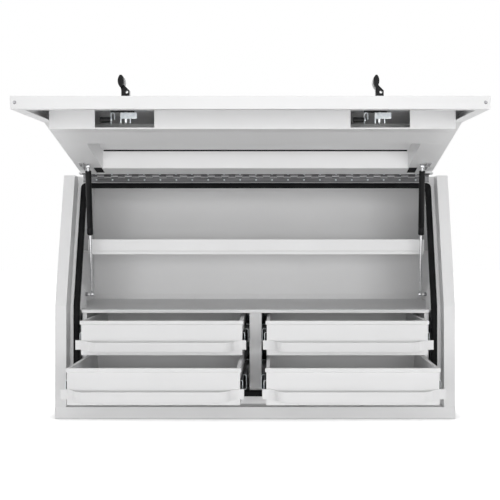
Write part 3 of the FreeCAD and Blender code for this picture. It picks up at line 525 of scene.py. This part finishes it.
def new_piece(name, shape, slot, body, finish=None):
    """Turns a finished bmesh into a smooth-shaded piece that rides on a body."""
    mesh = bpy.data.meshes.new(name)
    shape.to_mesh(mesh)
    shape.free()
    mesh.shade_smooth()
    mesh.set_sharp_from_angle(angle=math.radians(35.0))
    mesh.materials.append(finish_of(finish or slot))
    piece = bpy.data.objects.new(name, mesh)
    bpy.context.scene.collection.objects.link(piece)
    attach(piece, body)
    return piece


# Shapes

def copy_of(node):
    """A merged copy of a CAD node's mesh, with its flat faces whole."""
    shape = bmesh.new()
    shape.from_mesh(NODES[node].data)
    bmesh.ops.remove_doubles(shape, verts=shape.verts[:], dist=CORNER_GAP)
    bmesh.ops.dissolve_limit(shape, angle_limit=math.radians(1.0), verts=shape.verts[:], edges=shape.edges[:])
    shape.normal_update()
    return shape


def solids_of(node):
    """The corner points of each loose solid in a CAD node."""
    shape = copy_of(node)
    seen = set()
    solids = []
    for first in shape.verts:
        if first in seen:
            continue
        seen.add(first)
        waiting = [first]
        points = []
        while waiting:
            corner = waiting.pop()
            points.append(corner.co.copy())
            for edge in corner.link_edges:
                other = edge.other_vert(corner)
                if other not in seen:
                    seen.add(other)
                    waiting.append(other)
        solids.append(points)
    shape.free()
    return solids


def axes(origin, out, across=Vector((1.0, 0.0, 0.0))):
    """A place whose Z runs out and whose X runs as near as it can to another direction."""
    out = Vector(out).normalized()
    side = (across - out * across.dot(out)).normalized()
    return Matrix.Translation(origin) @ Matrix((side, out.cross(side), out)).transposed().to_4x4()


def latch_place(side):
    """A latch's own axes: X along the lid, Y up the lid, Z out of the skin."""
    joint = JOINTS["latch_turn_" + side]
    return axes(joint["pos_m"], joint["axis"])


def on_lid(x, span, depth):
    """A point of the open lid: distance down the slope from the hinge and depth behind the skin."""
    hinge = Vector(JOINTS["lid_swing"]["pos_m"])
    return Vector((x, hinge.y, hinge.z)) + LID_DOWN * span + LID_INWARD * (depth - HINGE_DEPTH)


def closed(shape):
    """Merges the seam of a turned shape and points its faces outwards."""
    bmesh.ops.remove_doubles(shape, verts=shape.verts[:], dist=SEAM_GAP)
    bmesh.ops.recalc_face_normals(shape, faces=shape.faces[:])
    return shape


def join(shape, part, place):
    """Adds a part to a shape, at a place."""
    part.transform(place)
    mesh = bpy.data.meshes.new("part")
    part.to_mesh(mesh)
    part.free()
    shape.from_mesh(mesh)
    bpy.data.meshes.remove(mesh)


def turned(shape, profile, place, steps=32):
    """Turns a profile of (radius, height) points once round the Z axis of a place."""
    part = bmesh.new()
    corners = [part.verts.new((radius, 0.0, height)) for radius, height in profile]
    edges = [part.edges.new(pair) for pair in zip(corners, corners[1:])]
    bmesh.ops.spin(part, geom=corners + edges, cent=(0.0, 0.0, 0.0), axis=(0.0, 0.0, 1.0),
                   angle=math.tau, steps=steps, use_merge=True)
    join(shape, closed(part), place)


def plate(shape, place, size, corner, segments=3):
    """A flat block on a place, with its upright edges rounded."""
    part = bmesh.new()
    bmesh.ops.create_cube(part, size=1.0)
    bmesh.ops.scale(part, vec=size, verts=part.verts[:])
    upright = []
    for edge in part.edges:
        if abs(edge.verts[0].co.z - edge.verts[1].co.z) > size[2] * 0.5:
            upright.append(edge)
    bmesh.ops.bevel(part, geom=upright, offset=corner, offset_type="OFFSET", segments=segments,
                    profile=0.5, affect="EDGES", material=-1)
    join(shape, part, place)


def round_head(shape, seat, out, radius, height, segments=16):
    """A low head on a seat, narrower at its top, with a round recess."""
    made = bmesh.ops.create_cone(shape, cap_ends=True, segments=segments, radius1=radius,
                                 radius2=radius * 0.72, depth=height,
                                 matrix=axes(seat + out * (height / 2), out))
    shape.normal_update()
    faces = [face for vert in made["verts"] for face in vert.link_faces]
    top = max(faces, key=lambda face: face.normal.dot(out))
    bmesh.ops.inset_individual(shape, faces=[top], thickness=radius * 0.3, depth=0.0)
    bmesh.ops.translate(shape, vec=out * (-height * 0.6), verts=top.verts[:])


# Pieces

class DressBox(bpy.types.Operator):
    """Finishes the fixed box: panels, sill, shelves, posts and hinge."""

    bl_idname = "toolbox.dress_box"
    bl_label = "Dress the Box"

    def execute(self, context):
        dress_body("box", context.scene.toolbox_finish.fold_radius)
        return {"FINISHED"}


class DressLid(bpy.types.Operator):
    """Finishes the lid, its inner frame and its hardware."""

    bl_idname = "toolbox.dress_lid"
    bl_label = "Dress the Lid"

    def execute(self, context):
        dress_body("lid", context.scene.toolbox_finish.fold_radius)
        return {"FINISHED"}


class DressDrawers(bpy.types.Operator):
    """Finishes the drawers and their handles."""

    bl_idname = "toolbox.dress_drawers"
    bl_label = "Dress the Drawers"

    def execute(self, context):
        fold = context.scene.toolbox_finish.fold_radius
        for drawer in DRAWERS:
            dress("drawer_" + drawer, fold * DRAWER_SHARE)
            dress("drawer_handle_" + drawer, fold)
        return {"FINISHED"}


class DressHardware(bpy.types.Operator):
    """Finishes the gas struts and the latches."""

    bl_idname = "toolbox.dress_hardware"
    bl_label = "Dress the Struts and Latches"

    def execute(self, context):
        fold = context.scene.toolbox_finish.fold_radius
        for side in SIDES:
            for body in ("strut_tube_", "strut_bar_", "latch_turn_", "latch_grip_"):
                for node in BODIES[body + side]:
                    dress(node, fold if body == "latch_grip_" else fold * HARDWARE_SHARE)
        return {"FINISHED"}


class MakePulls(bpy.types.Operator):
    """Makes the strip pulls, whose rounded bends lead up and back to the ends on the drawer front."""

    bl_idname = "toolbox.make_pulls"
    bl_label = "Make the Drawer Pulls"

    def execute(self, context):
        details = context.scene.toolbox_details
        for drawer in DRAWERS:
            node = "drawer_handle_" + drawer
            piece = new_piece("drawer_pull_" + drawer, self.strip(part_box(node), details), "white_coat",
                              "tray_" + drawer)
            round_edges(piece, context.scene.toolbox_finish.fold_radius, 2, 60.0)
            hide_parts(node)
        return {"FINISHED"}

    def strip(self, box, details):
        """A flat strip swept along the drawer through its two double bends."""
        low = Vector(box[0]) + Vector((POST_GAP, 0.0, 0.0))
        high = Vector(box[1]) - Vector((POST_GAP, 0.0, 0.0))
        tab = details.pull_tab
        grip = details.pull_tab + details.pull_ramp
        rise = details.pull_rise
        reach = high.y - low.y - PULL_WALL
        path = [(low.x, reach, rise), (low.x + tab, reach, rise), (low.x + grip, 0.0, 0.0),
                (high.x - grip, 0.0, 0.0), (high.x - tab, reach, rise), (high.x, reach, rise)]
        middle = (low.z + high.z) / 2
        half = details.pull_height / 2
        shape = bmesh.new()
        section = [(low.y, middle - half), (low.y + PULL_WALL, middle - half),
                   (low.y + PULL_WALL, middle + half), (low.y, middle + half)]
        corners = [shape.verts.new((low.x, y + reach, z + rise)) for y, z in section]
        end = shape.faces.new(corners)
        bends = []
        for before, after in zip(path, path[1:]):
            swept = bmesh.ops.extrude_face_region(shape, geom=[end])["geom"]
            inside = end
            end = [item for item in swept if isinstance(item, bmesh.types.BMFace)][0]
            bmesh.ops.translate(shape, vec=Vector(after) - Vector(before), verts=end.verts[:])
            if before != path[0]:
                bmesh.ops.delete(shape, geom=[inside], context="FACES_ONLY")
            if after != path[-1]:
                bends.extend(end.edges)
        bmesh.ops.bevel(shape, geom=bends, offset=PULL_BEND, offset_type="OFFSET", segments=6, profile=0.5,
                        affect="EDGES", material=-1, clamp_overlap=False)
        bmesh.ops.recalc_face_normals(shape, faces=shape.faces[:])
        return shape


class MakeRims(bpy.types.Operator):
    """Makes the rolled rim along the top of each drawer front, a little longer than the drawer is wide."""

    bl_idname = "toolbox.make_rims"
    bl_label = "Make the Drawer Rims"

    def execute(self, context):
        details = context.scene.toolbox_details
        height = details.rim_height
        for drawer in DRAWERS:
            low, high = (Vector(corner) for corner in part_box("drawer_" + drawer))
            middle = (low + high) / 2
            place = Vector((middle.x, low.y + RIM_DEPTH / 2 - RIM_PROUD, high.z + RIM_ABOVE - height / 2))
            size = (high.x - low.x + 2 * details.rim_overhang, height, RIM_DEPTH)
            shape = bmesh.new()
            plate(shape, axes(place, (0.0, -1.0, 0.0)), size, RIM_CORNER)
            piece = new_piece("drawer_rim_" + drawer, shape, "white_coat", "tray_" + drawer)
            round_edges(piece, RIM_EDGE, 3, 60.0)
        return {"FINISHED"}


class MakeRails(bpy.types.Operator):
    """Makes the three rolled rails of each drawer slide over their CAD channels, with faces darkened as painted
    shade and rims made bright as a painted highlight.
    """

    bl_idname = "toolbox.make_rails"
    bl_label = "Make the Slide Rails"

    def execute(self, context):
        self.rails("slide_outer_members", "box", 1.0, RAIL_LIP)
        for drawer in DRAWERS:
            self.rails("slide_middle_" + drawer, "stage_" + drawer, 1.0, 0.0)
            self.rails("slide_inner_" + drawer, "tray_" + drawer, -1.0, 0.0)
        return {"FINISHED"}

    def rails(self, node, body, opening, lip):
        """The rolled rails of one node: a rail opens to its drawer, or away from it."""
        shape = bmesh.new()
        for points in solids_of(node):
            low = Vector(min(point[axis] for point in points) for axis in range(3))
            high = Vector(max(point[axis] for point in points) for axis in range(3))
            middle = (low.x + high.x) / 2
            drawer = math.copysign(DRAWER_MIDDLE, middle)
            way = math.copysign(opening, drawer - middle)
            self.rail(shape, low, high, way, lip)
        # Painted shade: the rails' faces take the dark steel in place of the shade in the gaps beside the drawers
        piece = new_piece(node + "_rolled", shape, "zinc", body, "shade_dark_steel")
        wall = piece.modifiers.new("Wall", "SOLIDIFY")
        wall.thickness = RAIL_WALL
        wall.offset = 0.0
        wall.use_even_offset = True
        # Painted highlight: the rails' rims take the bright zinc, standing in for the glints along the slide ends
        wall.material_offset_rim = 1
        piece.data.materials.append(finish_of("bright_zinc"))
        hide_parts(node)

    def rail(self, shape, low, high, way, lip):
        """One channel with rounded bends and, where asked, a lip turned in at its mouth."""
        half = RAIL_WALL / 2
        web = low.x + half if way > 0 else high.x - half
        mouth = high.x - half if way > 0 else low.x + half
        top = high.z - half
        bottom = low.z + half
        path = [(mouth, top), (web, top), (web, bottom), (mouth, bottom)]
        if lip:
            path = [(mouth, top - lip), *path, (mouth, bottom + lip)]
        part = bmesh.new()
        corners = [part.verts.new((x, low.y, z)) for x, z in path]
        edges = [part.edges.new(pair) for pair in zip(corners, corners[1:])]
        swept = bmesh.ops.extrude_edge_only(part, edges=edges)["geom"]
        ends = [item for item in swept if isinstance(item, bmesh.types.BMVert)]
        bmesh.ops.translate(part, vec=(0.0, high.y - low.y, 0.0), verts=ends)
        bends = [edge for edge in part.edges if len(edge.link_faces) == 2]
        wide = [edge for edge in bends if abs(edge.verts[0].co.x - web) < half]
        tight = [edge for edge in bends if edge not in wide]
        bmesh.ops.bevel(part, geom=wide, offset=RAIL_BEND, offset_type="OFFSET", segments=4, profile=0.5,
                        affect="EDGES", material=-1, clamp_overlap=False)
        if lip:
            bmesh.ops.bevel(part, geom=tight, offset=LIP_BEND, offset_type="OFFSET", segments=2, profile=0.5,
                            affect="EDGES", material=-1, clamp_overlap=False)
        bmesh.ops.recalc_face_normals(part, faces=part.faces[:])
        join(shape, part, Matrix.Identity(4))


class MakeSeal(bpy.types.Operator):
    """Makes the rubber seal, with its front edges rounded to a bulb."""

    bl_idname = "toolbox.make_seal"
    bl_label = "Make the Seal"

    def execute(self, context):
        shape = copy_of("door_seal")
        rims = [edge for edge in shape.edges if self.is_rim(edge)]
        rounding = context.scene.toolbox_details.seal_round
        bmesh.ops.bevel(shape, geom=rims, offset=rounding, offset_type="OFFSET", segments=5, profile=0.5,
                        affect="EDGES", material=-1, clamp_overlap=False)
        piece = new_piece("bulb_seal", shape, "seal_rubber", "box")
        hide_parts("door_seal")
        return {"FINISHED"}

    def is_rim(self, edge):
        """True where the seal's front meets one of its sides."""
        if len(edge.link_faces) != 2:
            return False
        low, high = sorted(face.normal.y for face in edge.link_faces)
        return low < -0.5 and abs(high) < 0.5


class MakeScrews(bpy.types.Operator):
    """Makes the hinge screws' heads and the rivets at the lid's lower corners."""

    bl_idname = "toolbox.make_screws"
    bl_label = "Make the Screws and Rivets"

    def execute(self, context):
        details = context.scene.toolbox_details
        screw = (details.head_radius, HEAD_HEIGHT, "bright_zinc")
        rivet = (details.rivet_radius, RIVET_HEIGHT, "hinge_steel")
        lip_out = LID_TURN @ Vector((0.0, 0.0, -1.0))
        self.heads("hinge_screws_body", "hinge_heads_body", "box", FACE_OUT, *screw)
        self.heads("hinge_screws_lid", "hinge_heads_lid", "lid", LID_INWARD, *screw)
        self.heads("lid_rivets", "lid_rivet_heads", "lid", lip_out, *rivet)
        return {"FINISHED"}

    def heads(self, node, name, body, out, radius, height, finish):
        """A head on the outer end of each screw or rivet of a node."""
        shape = bmesh.new()
        for points in solids_of(node):
            centre = sum(points, Vector()) / len(points)
            reach = max((point - centre).dot(out) for point in points)
            round_head(shape, centre + out * (reach - height), out, radius, height)
        piece = new_piece(name, shape, "zinc", body, finish)
        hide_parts(node)


class MakeStruts(bpy.types.Operator):
    """Makes the struts' turned tubes, their ball sockets and the nuts on the lower studs."""

    bl_idname = "toolbox.make_struts"
    bl_label = "Make the Strut Fittings"

    def execute(self, context):
        details = context.scene.toolbox_details
        for side in SIDES:
            head = Vector(JOINTS["strut_swing_" + side]["pos_m"])
            line = Vector(JOINTS["strut_stroke_" + side]["axis"])
            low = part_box("strut_rod_" + side)[0].z + FOOT_EYE
            foot = head - line * ((head.z - low) / line.z)
            self.tube(side, axes(head, line), details.tube_radius)
            self.rod(side, axes(foot, line))
            radius = details.socket_radius
            self.socket("strut_head_socket_" + side, "strut_tube_" + side, head, -line, radius, HEAD_NECK)
            self.socket("strut_foot_socket_" + side, "strut_bar_" + side, foot, line, radius, FOOT_NECK)
            self.nut(side, foot)
        return {"FINISHED"}

    def tube(self, side, place, radius):
        """Pressure tube hung from the head, with a crimped ring above its lower end."""
        shape = bmesh.new()
        shoulder = radius * 0.82
        ring = radius * 0.93
        turned(shape, [(0.0, -0.014), (shoulder, -0.014), (radius, -0.0158), (radius, -0.1925),
                       (ring, -0.1936), (ring, -0.1952), (radius, -0.1963), (radius, -0.2150),
                       (radius * 0.9, -0.2172), (radius * 0.75, -0.218), (0.0045, -0.218),
                       (0.0045, -0.212), (0.0, -0.212)], place)
        piece = new_piece("strut_pressure_tube_" + side, shape, "black_paint", "strut_tube_" + side)
        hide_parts("strut_cylinder_" + side)

    def rod(self, side, place):
        """Bright rod from the foot socket into the tube, turned down where it screws into the socket."""
        shape = bmesh.new()
        turned(shape, [(0.0, 0.004), (0.0028, 0.004), (0.0028, 0.0115), (ROD_RADIUS, 0.0125),
                       (ROD_RADIUS, ROD_LENGTH), (0.0, ROD_LENGTH)], place)
        piece = new_piece("strut_bright_rod_" + side, shape, "rod_chrome", "strut_bar_" + side)
        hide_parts("strut_rod_" + side)

    def socket(self, name, body, centre, along, radius, neck):
        """Ball socket across the box, with a neck along the strut."""
        shape = bmesh.new()
        half = SOCKET_HALF
        lean = math.copysign(1.0, -centre.x)
        turned(shape, [(0.0, -half), (radius * 0.8, -half), (radius, 0.002 - half), (radius, half - 0.002),
                       (radius * 0.8, half), (radius * 0.5, half), (radius * 0.45, half - 0.002),
                       (0.0, half - 0.002)], axes(centre, (lean, 0.0, 0.0), UP))
        turned(shape, [(0.0, 0.0), (0.0033, 0.0), (0.0033, neck - 0.003), (0.0044, neck - 0.0022),
                       (0.0044, neck + 0.0005), (0.004, neck + 0.001), (0.0, neck + 0.001)],
               axes(centre, along))
        new_piece(name, shape, "zinc", body)

    def nut(self, side, foot):
        """Hexagon nut between the lower socket and its bracket."""
        out = Vector((math.copysign(1.0, foot.x), 0.0, 0.0))
        shape = bmesh.new()
        bmesh.ops.create_cone(shape, cap_ends=True, segments=6, radius1=NUT_RADIUS, radius2=NUT_RADIUS,
                              depth=NUT_LENGTH, matrix=axes(foot + out * NUT_PLACE, out, UP))
        bmesh.ops.bevel(shape, geom=shape.edges[:], offset=NUT_EDGE, offset_type="OFFSET", segments=2,
                        profile=0.5, affect="EDGES", material=-1)
        new_piece("strut_stud_nut_" + side, shape, "zinc", "box", "hinge_steel")


class MakeLatches(bpy.types.Operator):
    """Makes the latches' spring clips and the clamp plates behind the skin."""

    bl_idname = "toolbox.make_latches"
    bl_label = "Make the Latch Clips"

    def execute(self, context):
        wire = context.scene.toolbox_details.wire_radius
        clips = bmesh.new()
        plates = bmesh.new()
        for side in SIDES:
            place = latch_place(side)
            self.hairpin(clips, place @ Matrix.Translation(CLIP_PLACE), CLIP_ARCH, wire, *CLIP_LEGS)
            turned(clips, COLLAR_PROFILE, place @ axes(COLLAR_PLACE, (1.0, 0.0, 0.0), UP), 20)
            for x in (-CLAMP_OUT, CLAMP_OUT):
                plate(plates, place @ Matrix.Translation((x, 0.0, -CLAMP_DEPTH)), CLAMP_SIZE, CLAMP_CORNER)
        piece = new_piece("lock_spring_clips", clips, "zinc", "lid", "bright_zinc")
        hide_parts("lock_clips")
        new_piece("latch_clamp_plates", plates, "zinc", "lid", "bright_zinc")
        return {"FINISHED"}

    def hairpin(self, shape, place, arch, wire, left, right):
        """A bend of round wire with two legs: an arch in the XZ plane, open below."""
        part = bmesh.new()
        bmesh.ops.create_circle(part, cap_ends=False, segments=10, radius=wire,
                                matrix=Matrix.Translation((arch, 0.0, 0.0)))
        start = part.edges[:]
        spun = bmesh.ops.spin(part, geom=part.verts[:] + start, cent=(0.0, 0.0, 0.0), axis=(0.0, -1.0, 0.0),
                              angle=math.pi, steps=14)
        end = [item for item in spun["geom_last"] if isinstance(item, bmesh.types.BMEdge)]
        for edges, length in ((start, right), (end, left)):
            leg = bmesh.ops.extrude_edge_only(part, edges=edges)["geom"]
            tips = [item for item in leg if isinstance(item, bmesh.types.BMVert)]
            bmesh.ops.translate(part, vec=(0.0, 0.0, -length), verts=tips)
            sides = [item for item in leg if isinstance(item, bmesh.types.BMEdge)]
            rim = [edge for edge in sides if set(edge.verts) <= set(tips)]
            bmesh.ops.edgeloop_fill(part, edges=rim)
        join(shape, closed(part), place)


class MakeSlotPads(bpy.types.Operator):
    """Makes the ribbed black pads behind the slots in the lid's side channels."""

    bl_idname = "toolbox.make_slot_pads"
    bl_label = "Make the Slot Pads"

    def execute(self, context):
        shape = bmesh.new()
        for x in (-PAD_OUT, PAD_OUT):
            place = axes(on_lid(x, PAD_DOWN, FRAME_DEPTH - PAD_DEPTH), LID_INWARD)
            self.pad(shape, place, PAD_WIDTH, PAD_LENGTH)
        piece = new_piece("lid_slot_pads", shape, "black_plastic", "lid")
        wall = piece.modifiers.new("Wall", "SOLIDIFY")
        wall.thickness = PAD_WALL
        wall.offset = -1.0
        return {"FINISHED"}

    def pad(self, shape, place, width, length):
        """A flat pad with ribs across it."""
        part = bmesh.new()
        bmesh.ops.create_grid(part, x_segments=1, y_segments=PAD_STRIPS, size=0.5)
        bmesh.ops.scale(part, vec=(width, length, 1.0), verts=part.verts[:])
        strips = sorted(part.faces, key=lambda face: face.calc_center_median().y)
        ribs = bmesh.ops.extrude_discrete_faces(part, faces=strips[1::2])["faces"]
        for rib in ribs:
            bmesh.ops.translate(part, vec=(0.0, 0.0, PAD_RIB), verts=rib.verts[:])
        join(shape, part, place)


class MakeShadowStrip(bpy.types.Operator):
    """Makes a dark strip of painted shadow where the hinge channel meets the lid's sheet, in place of the shadow
    gap at that joint.
    """

    bl_idname = "toolbox.make_sealant"
    bl_label = "Make the Painted Shadow Strip"

    def execute(self, context):
        shape = bmesh.new()
        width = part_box("lid_frame_hinge")[1].x * 2 - SHADOW_STRIP_ROOM
        place = axes(on_lid(0.0, SHADOW_STRIP_DOWN, SHADOW_STRIP_DEPTH), LID_INWARD)
        plate(shape, place, (width, *SHADOW_STRIP_SIZE), SHADOW_STRIP_CORNER)
        # Painted shadow: a black rubber strip stands in for the shadow gap at the joint
        new_piece("lid_painted_shadow_strip", shape, "seal_rubber", "lid")
        return {"FINISHED"}


class SetStage(bpy.types.Operator):
    """Sets the pale floor, the soft light and the camera."""

    bl_idname = "toolbox.set_stage"
    bl_label = "Set the Stage"

    def execute(self, context):
        settings = context.scene.toolbox_stage
        context.scene.view_settings.view_transform = "Standard"
        self.camera(context, settings)
        self.lights(context, settings)
        self.world(context, settings)
        self.floor(context)
        return {"FINISHED"}

    def camera(self, context, settings):
        """Camera square to the front of the box, with the lens shifted for the framing."""
        data = bpy.data.cameras.new("photo_camera")
        data.sensor_width = 36.0
        data.lens = settings.lens
        data.shift_x, data.shift_y = settings.shift
        data.clip_end = 100.0
        camera = bpy.data.objects.new("photo_camera", data)
        camera.location = settings.eye
        camera.rotation_euler = (math.pi / 2, settings.roll, 0.0)
        context.scene.collection.objects.link(camera)
        context.scene.camera = camera

    def lights(self, context, settings):
        """Large soft lamps: two in front, a low one that reaches under the lid, one on each other side."""
        middle = (0.0, 0.0, 0.5)
        side = settings.side_power
        self.lamp(context, "key_softbox", (0.4, -7.0, 0.5), middle, (5.0, 2.0), settings.key_power)
        self.lamp(context, "high_softbox", (0.0, -7.0, 2.6), (0.0, 0.0, 0.4), (5.0, 1.6), settings.high_power)
        self.lamp(context, "floor_bounce", (0.0, -1.7, 0.02), (0.0, -1.1, 0.9), (2.4, 0.9),
                  settings.bounce_power)
        self.lamp(context, "left_softbox", (-6.0, 0.4, 1.6), middle, (3.0, 2.4), side)
        self.lamp(context, "right_softbox", (6.0, 0.4, 1.6), middle, (3.0, 2.4), side)
        self.lamp(context, "rear_softbox", (0.0, 6.5, 2.0), middle, (4.0, 2.4), side)
        self.lamp(context, "top_softbox", (0.0, 0.3, 5.5), middle, (3.0, 3.0), settings.top_power)

    def lamp(self, context, name, place, target, size, power):
        """One soft lamp, aimed at a point and out of the camera's sight."""
        data = bpy.data.lights.new(name, "AREA")
        data.shape = "RECTANGLE"
        data.size, data.size_y = size
        data.energy = power
        lamp = bpy.data.objects.new(name, data)
        lamp.location = place
        aim = Vector(target) - lamp.location
        lamp.rotation_euler = aim.to_track_quat("-Z", "Y").to_euler()
        lamp.visible_camera = False
        context.scene.collection.objects.link(lamp)

    def world(self, context, settings):
        """Even light, with plain white where the camera or a reflection looks past the box."""
        world = bpy.data.worlds.new("studio")
        world.use_nodes = True
        tree = world.node_tree
        tree.nodes.clear()
        output = tree.nodes.new("ShaderNodeOutputWorld")
        even = tree.nodes.new("ShaderNodeBackground")
        even.inputs["Color"].default_value = (1.0, 1.0, 1.0, 1.0)
        even.inputs["Strength"].default_value = settings.sky_strength
        white = tree.nodes.new("ShaderNodeBackground")
        white.inputs["Color"].default_value = (1.0, 1.0, 1.0, 1.0)
        white.inputs["Strength"].default_value = 1.0
        mix = tree.nodes.new("ShaderNodeMixShader")
        tree.links.new(seen_directly(tree), mix.inputs["Fac"])
        tree.links.new(even.outputs["Background"], mix.inputs[1])
        tree.links.new(white.outputs["Background"], mix.inputs[2])
        tree.links.new(mix.outputs["Shader"], output.inputs["Surface"])
        context.scene.world = world

    def floor(self, context):
        """Wide floor just below the box."""
        shape = bmesh.new()
        bmesh.ops.create_grid(shape, x_segments=1, y_segments=1, size=FLOOR_HALF)
        mesh = bpy.data.meshes.new("studio_floor")
        shape.to_mesh(mesh)
        shape.free()
        mesh.materials.append(self.floor_material())
        floor = bpy.data.objects.new("studio_floor", mesh)
        floor.location.z = CAD_BOX[0][2] - FLOOR_BELOW
        context.scene.collection.objects.link(floor)

    def floor_material(self):
        """Pale floor that is white to the camera, except where the box stands close and shades it."""
        material = bpy.data.materials.new("pale_floor")
        material.use_nodes = True
        tree = material.node_tree
        tree.nodes.clear()
        output = tree.nodes.new("ShaderNodeOutputMaterial")
        matt = tree.nodes.new("ShaderNodeBsdfDiffuse")
        matt.inputs["Color"].default_value = (0.8, 0.8, 0.8, 1.0)
        glow = tree.nodes.new("ShaderNodeEmission")
        share = tree.nodes.new("ShaderNodeMath")
        share.operation = "MULTIPLY"
        share.inputs[1].default_value = FLOOR_GLOW
        nearness = tree.nodes.new("ShaderNodeAmbientOcclusion")
        nearness.inputs["Distance"].default_value = SHADE_REACH
        depth = tree.nodes.new("ShaderNodeMath")
        depth.operation = "POWER"
        depth.inputs[1].default_value = SHADE_POWER
        open_glow = tree.nodes.new("ShaderNodeMath")
        open_glow.operation = "MULTIPLY"
        both = tree.nodes.new("ShaderNodeAddShader")
        tree.links.new(seen_directly(tree), share.inputs[0])
        tree.links.new(share.outputs["Value"], open_glow.inputs[0])
        tree.links.new(nearness.outputs["AO"], depth.inputs[0])
        tree.links.new(depth.outputs["Value"], open_glow.inputs[1])
        tree.links.new(open_glow.outputs["Value"], glow.inputs["Strength"])
        tree.links.new(matt.outputs["BSDF"], both.inputs[0])
        tree.links.new(glow.outputs["Emission"], both.inputs[1])
        tree.links.new(both.outputs["Shader"], output.inputs["Surface"])
        return material


def seen_directly(tree):
    """One for camera, glossy and transmission rays, and nothing for the light that the box receives."""
    path = tree.nodes.new("ShaderNodeLightPath")
    first = tree.nodes.new("ShaderNodeMath")
    first.operation = "MAXIMUM"
    tree.links.new(path.outputs["Is Camera Ray"], first.inputs[0])
    tree.links.new(path.outputs["Is Glossy Ray"], first.inputs[1])
    second = tree.nodes.new("ShaderNodeMath")
    second.operation = "MAXIMUM"
    tree.links.new(first.outputs["Value"], second.inputs[0])
    tree.links.new(path.outputs["Is Transmission Ray"], second.inputs[1])
    return second.outputs["Value"]


STEPS = (DressBox, DressLid, DressDrawers, DressHardware, MakePulls, MakeRims, MakeRails, MakeSeal,
         MakeScrews, MakeStruts, MakeLatches, MakeSlotPads, MakeShadowStrip, SetStage)


class ToolboxPanel(bpy.types.Panel):
    """Lists the steps that dress the toolbox."""

    bl_idname = "VIEW3D_PT_toolbox"
    bl_label = "Truck Toolbox"
    bl_space_type = "VIEW_3D"
    bl_region_type = "UI"
    bl_category = "Toolbox"

    def draw(self, context):
        for step in STEPS:
            self.layout.operator(step.bl_idname)


CLASSES = (BoxFinish, BoxDetails, StageSettings, *STEPS, ToolboxPanel)


def register():
    for cls in CLASSES:
        bpy.utils.register_class(cls)
    bpy.types.Scene.toolbox_finish = bpy.props.PointerProperty(type=BoxFinish)
    bpy.types.Scene.toolbox_details = bpy.props.PointerProperty(type=BoxDetails)
    bpy.types.Scene.toolbox_stage = bpy.props.PointerProperty(type=StageSettings)


def unregister():
    del bpy.types.Scene.toolbox_stage
    del bpy.types.Scene.toolbox_details
    del bpy.types.Scene.toolbox_finish
    for cls in reversed(CLASSES):
        bpy.utils.unregister_class(cls)


def main():
    register()
    for step in STEPS:
        group, name = step.bl_idname.split(".")
        getattr(getattr(bpy.ops, group), name)()


if __name__ == "__main__":
    main()
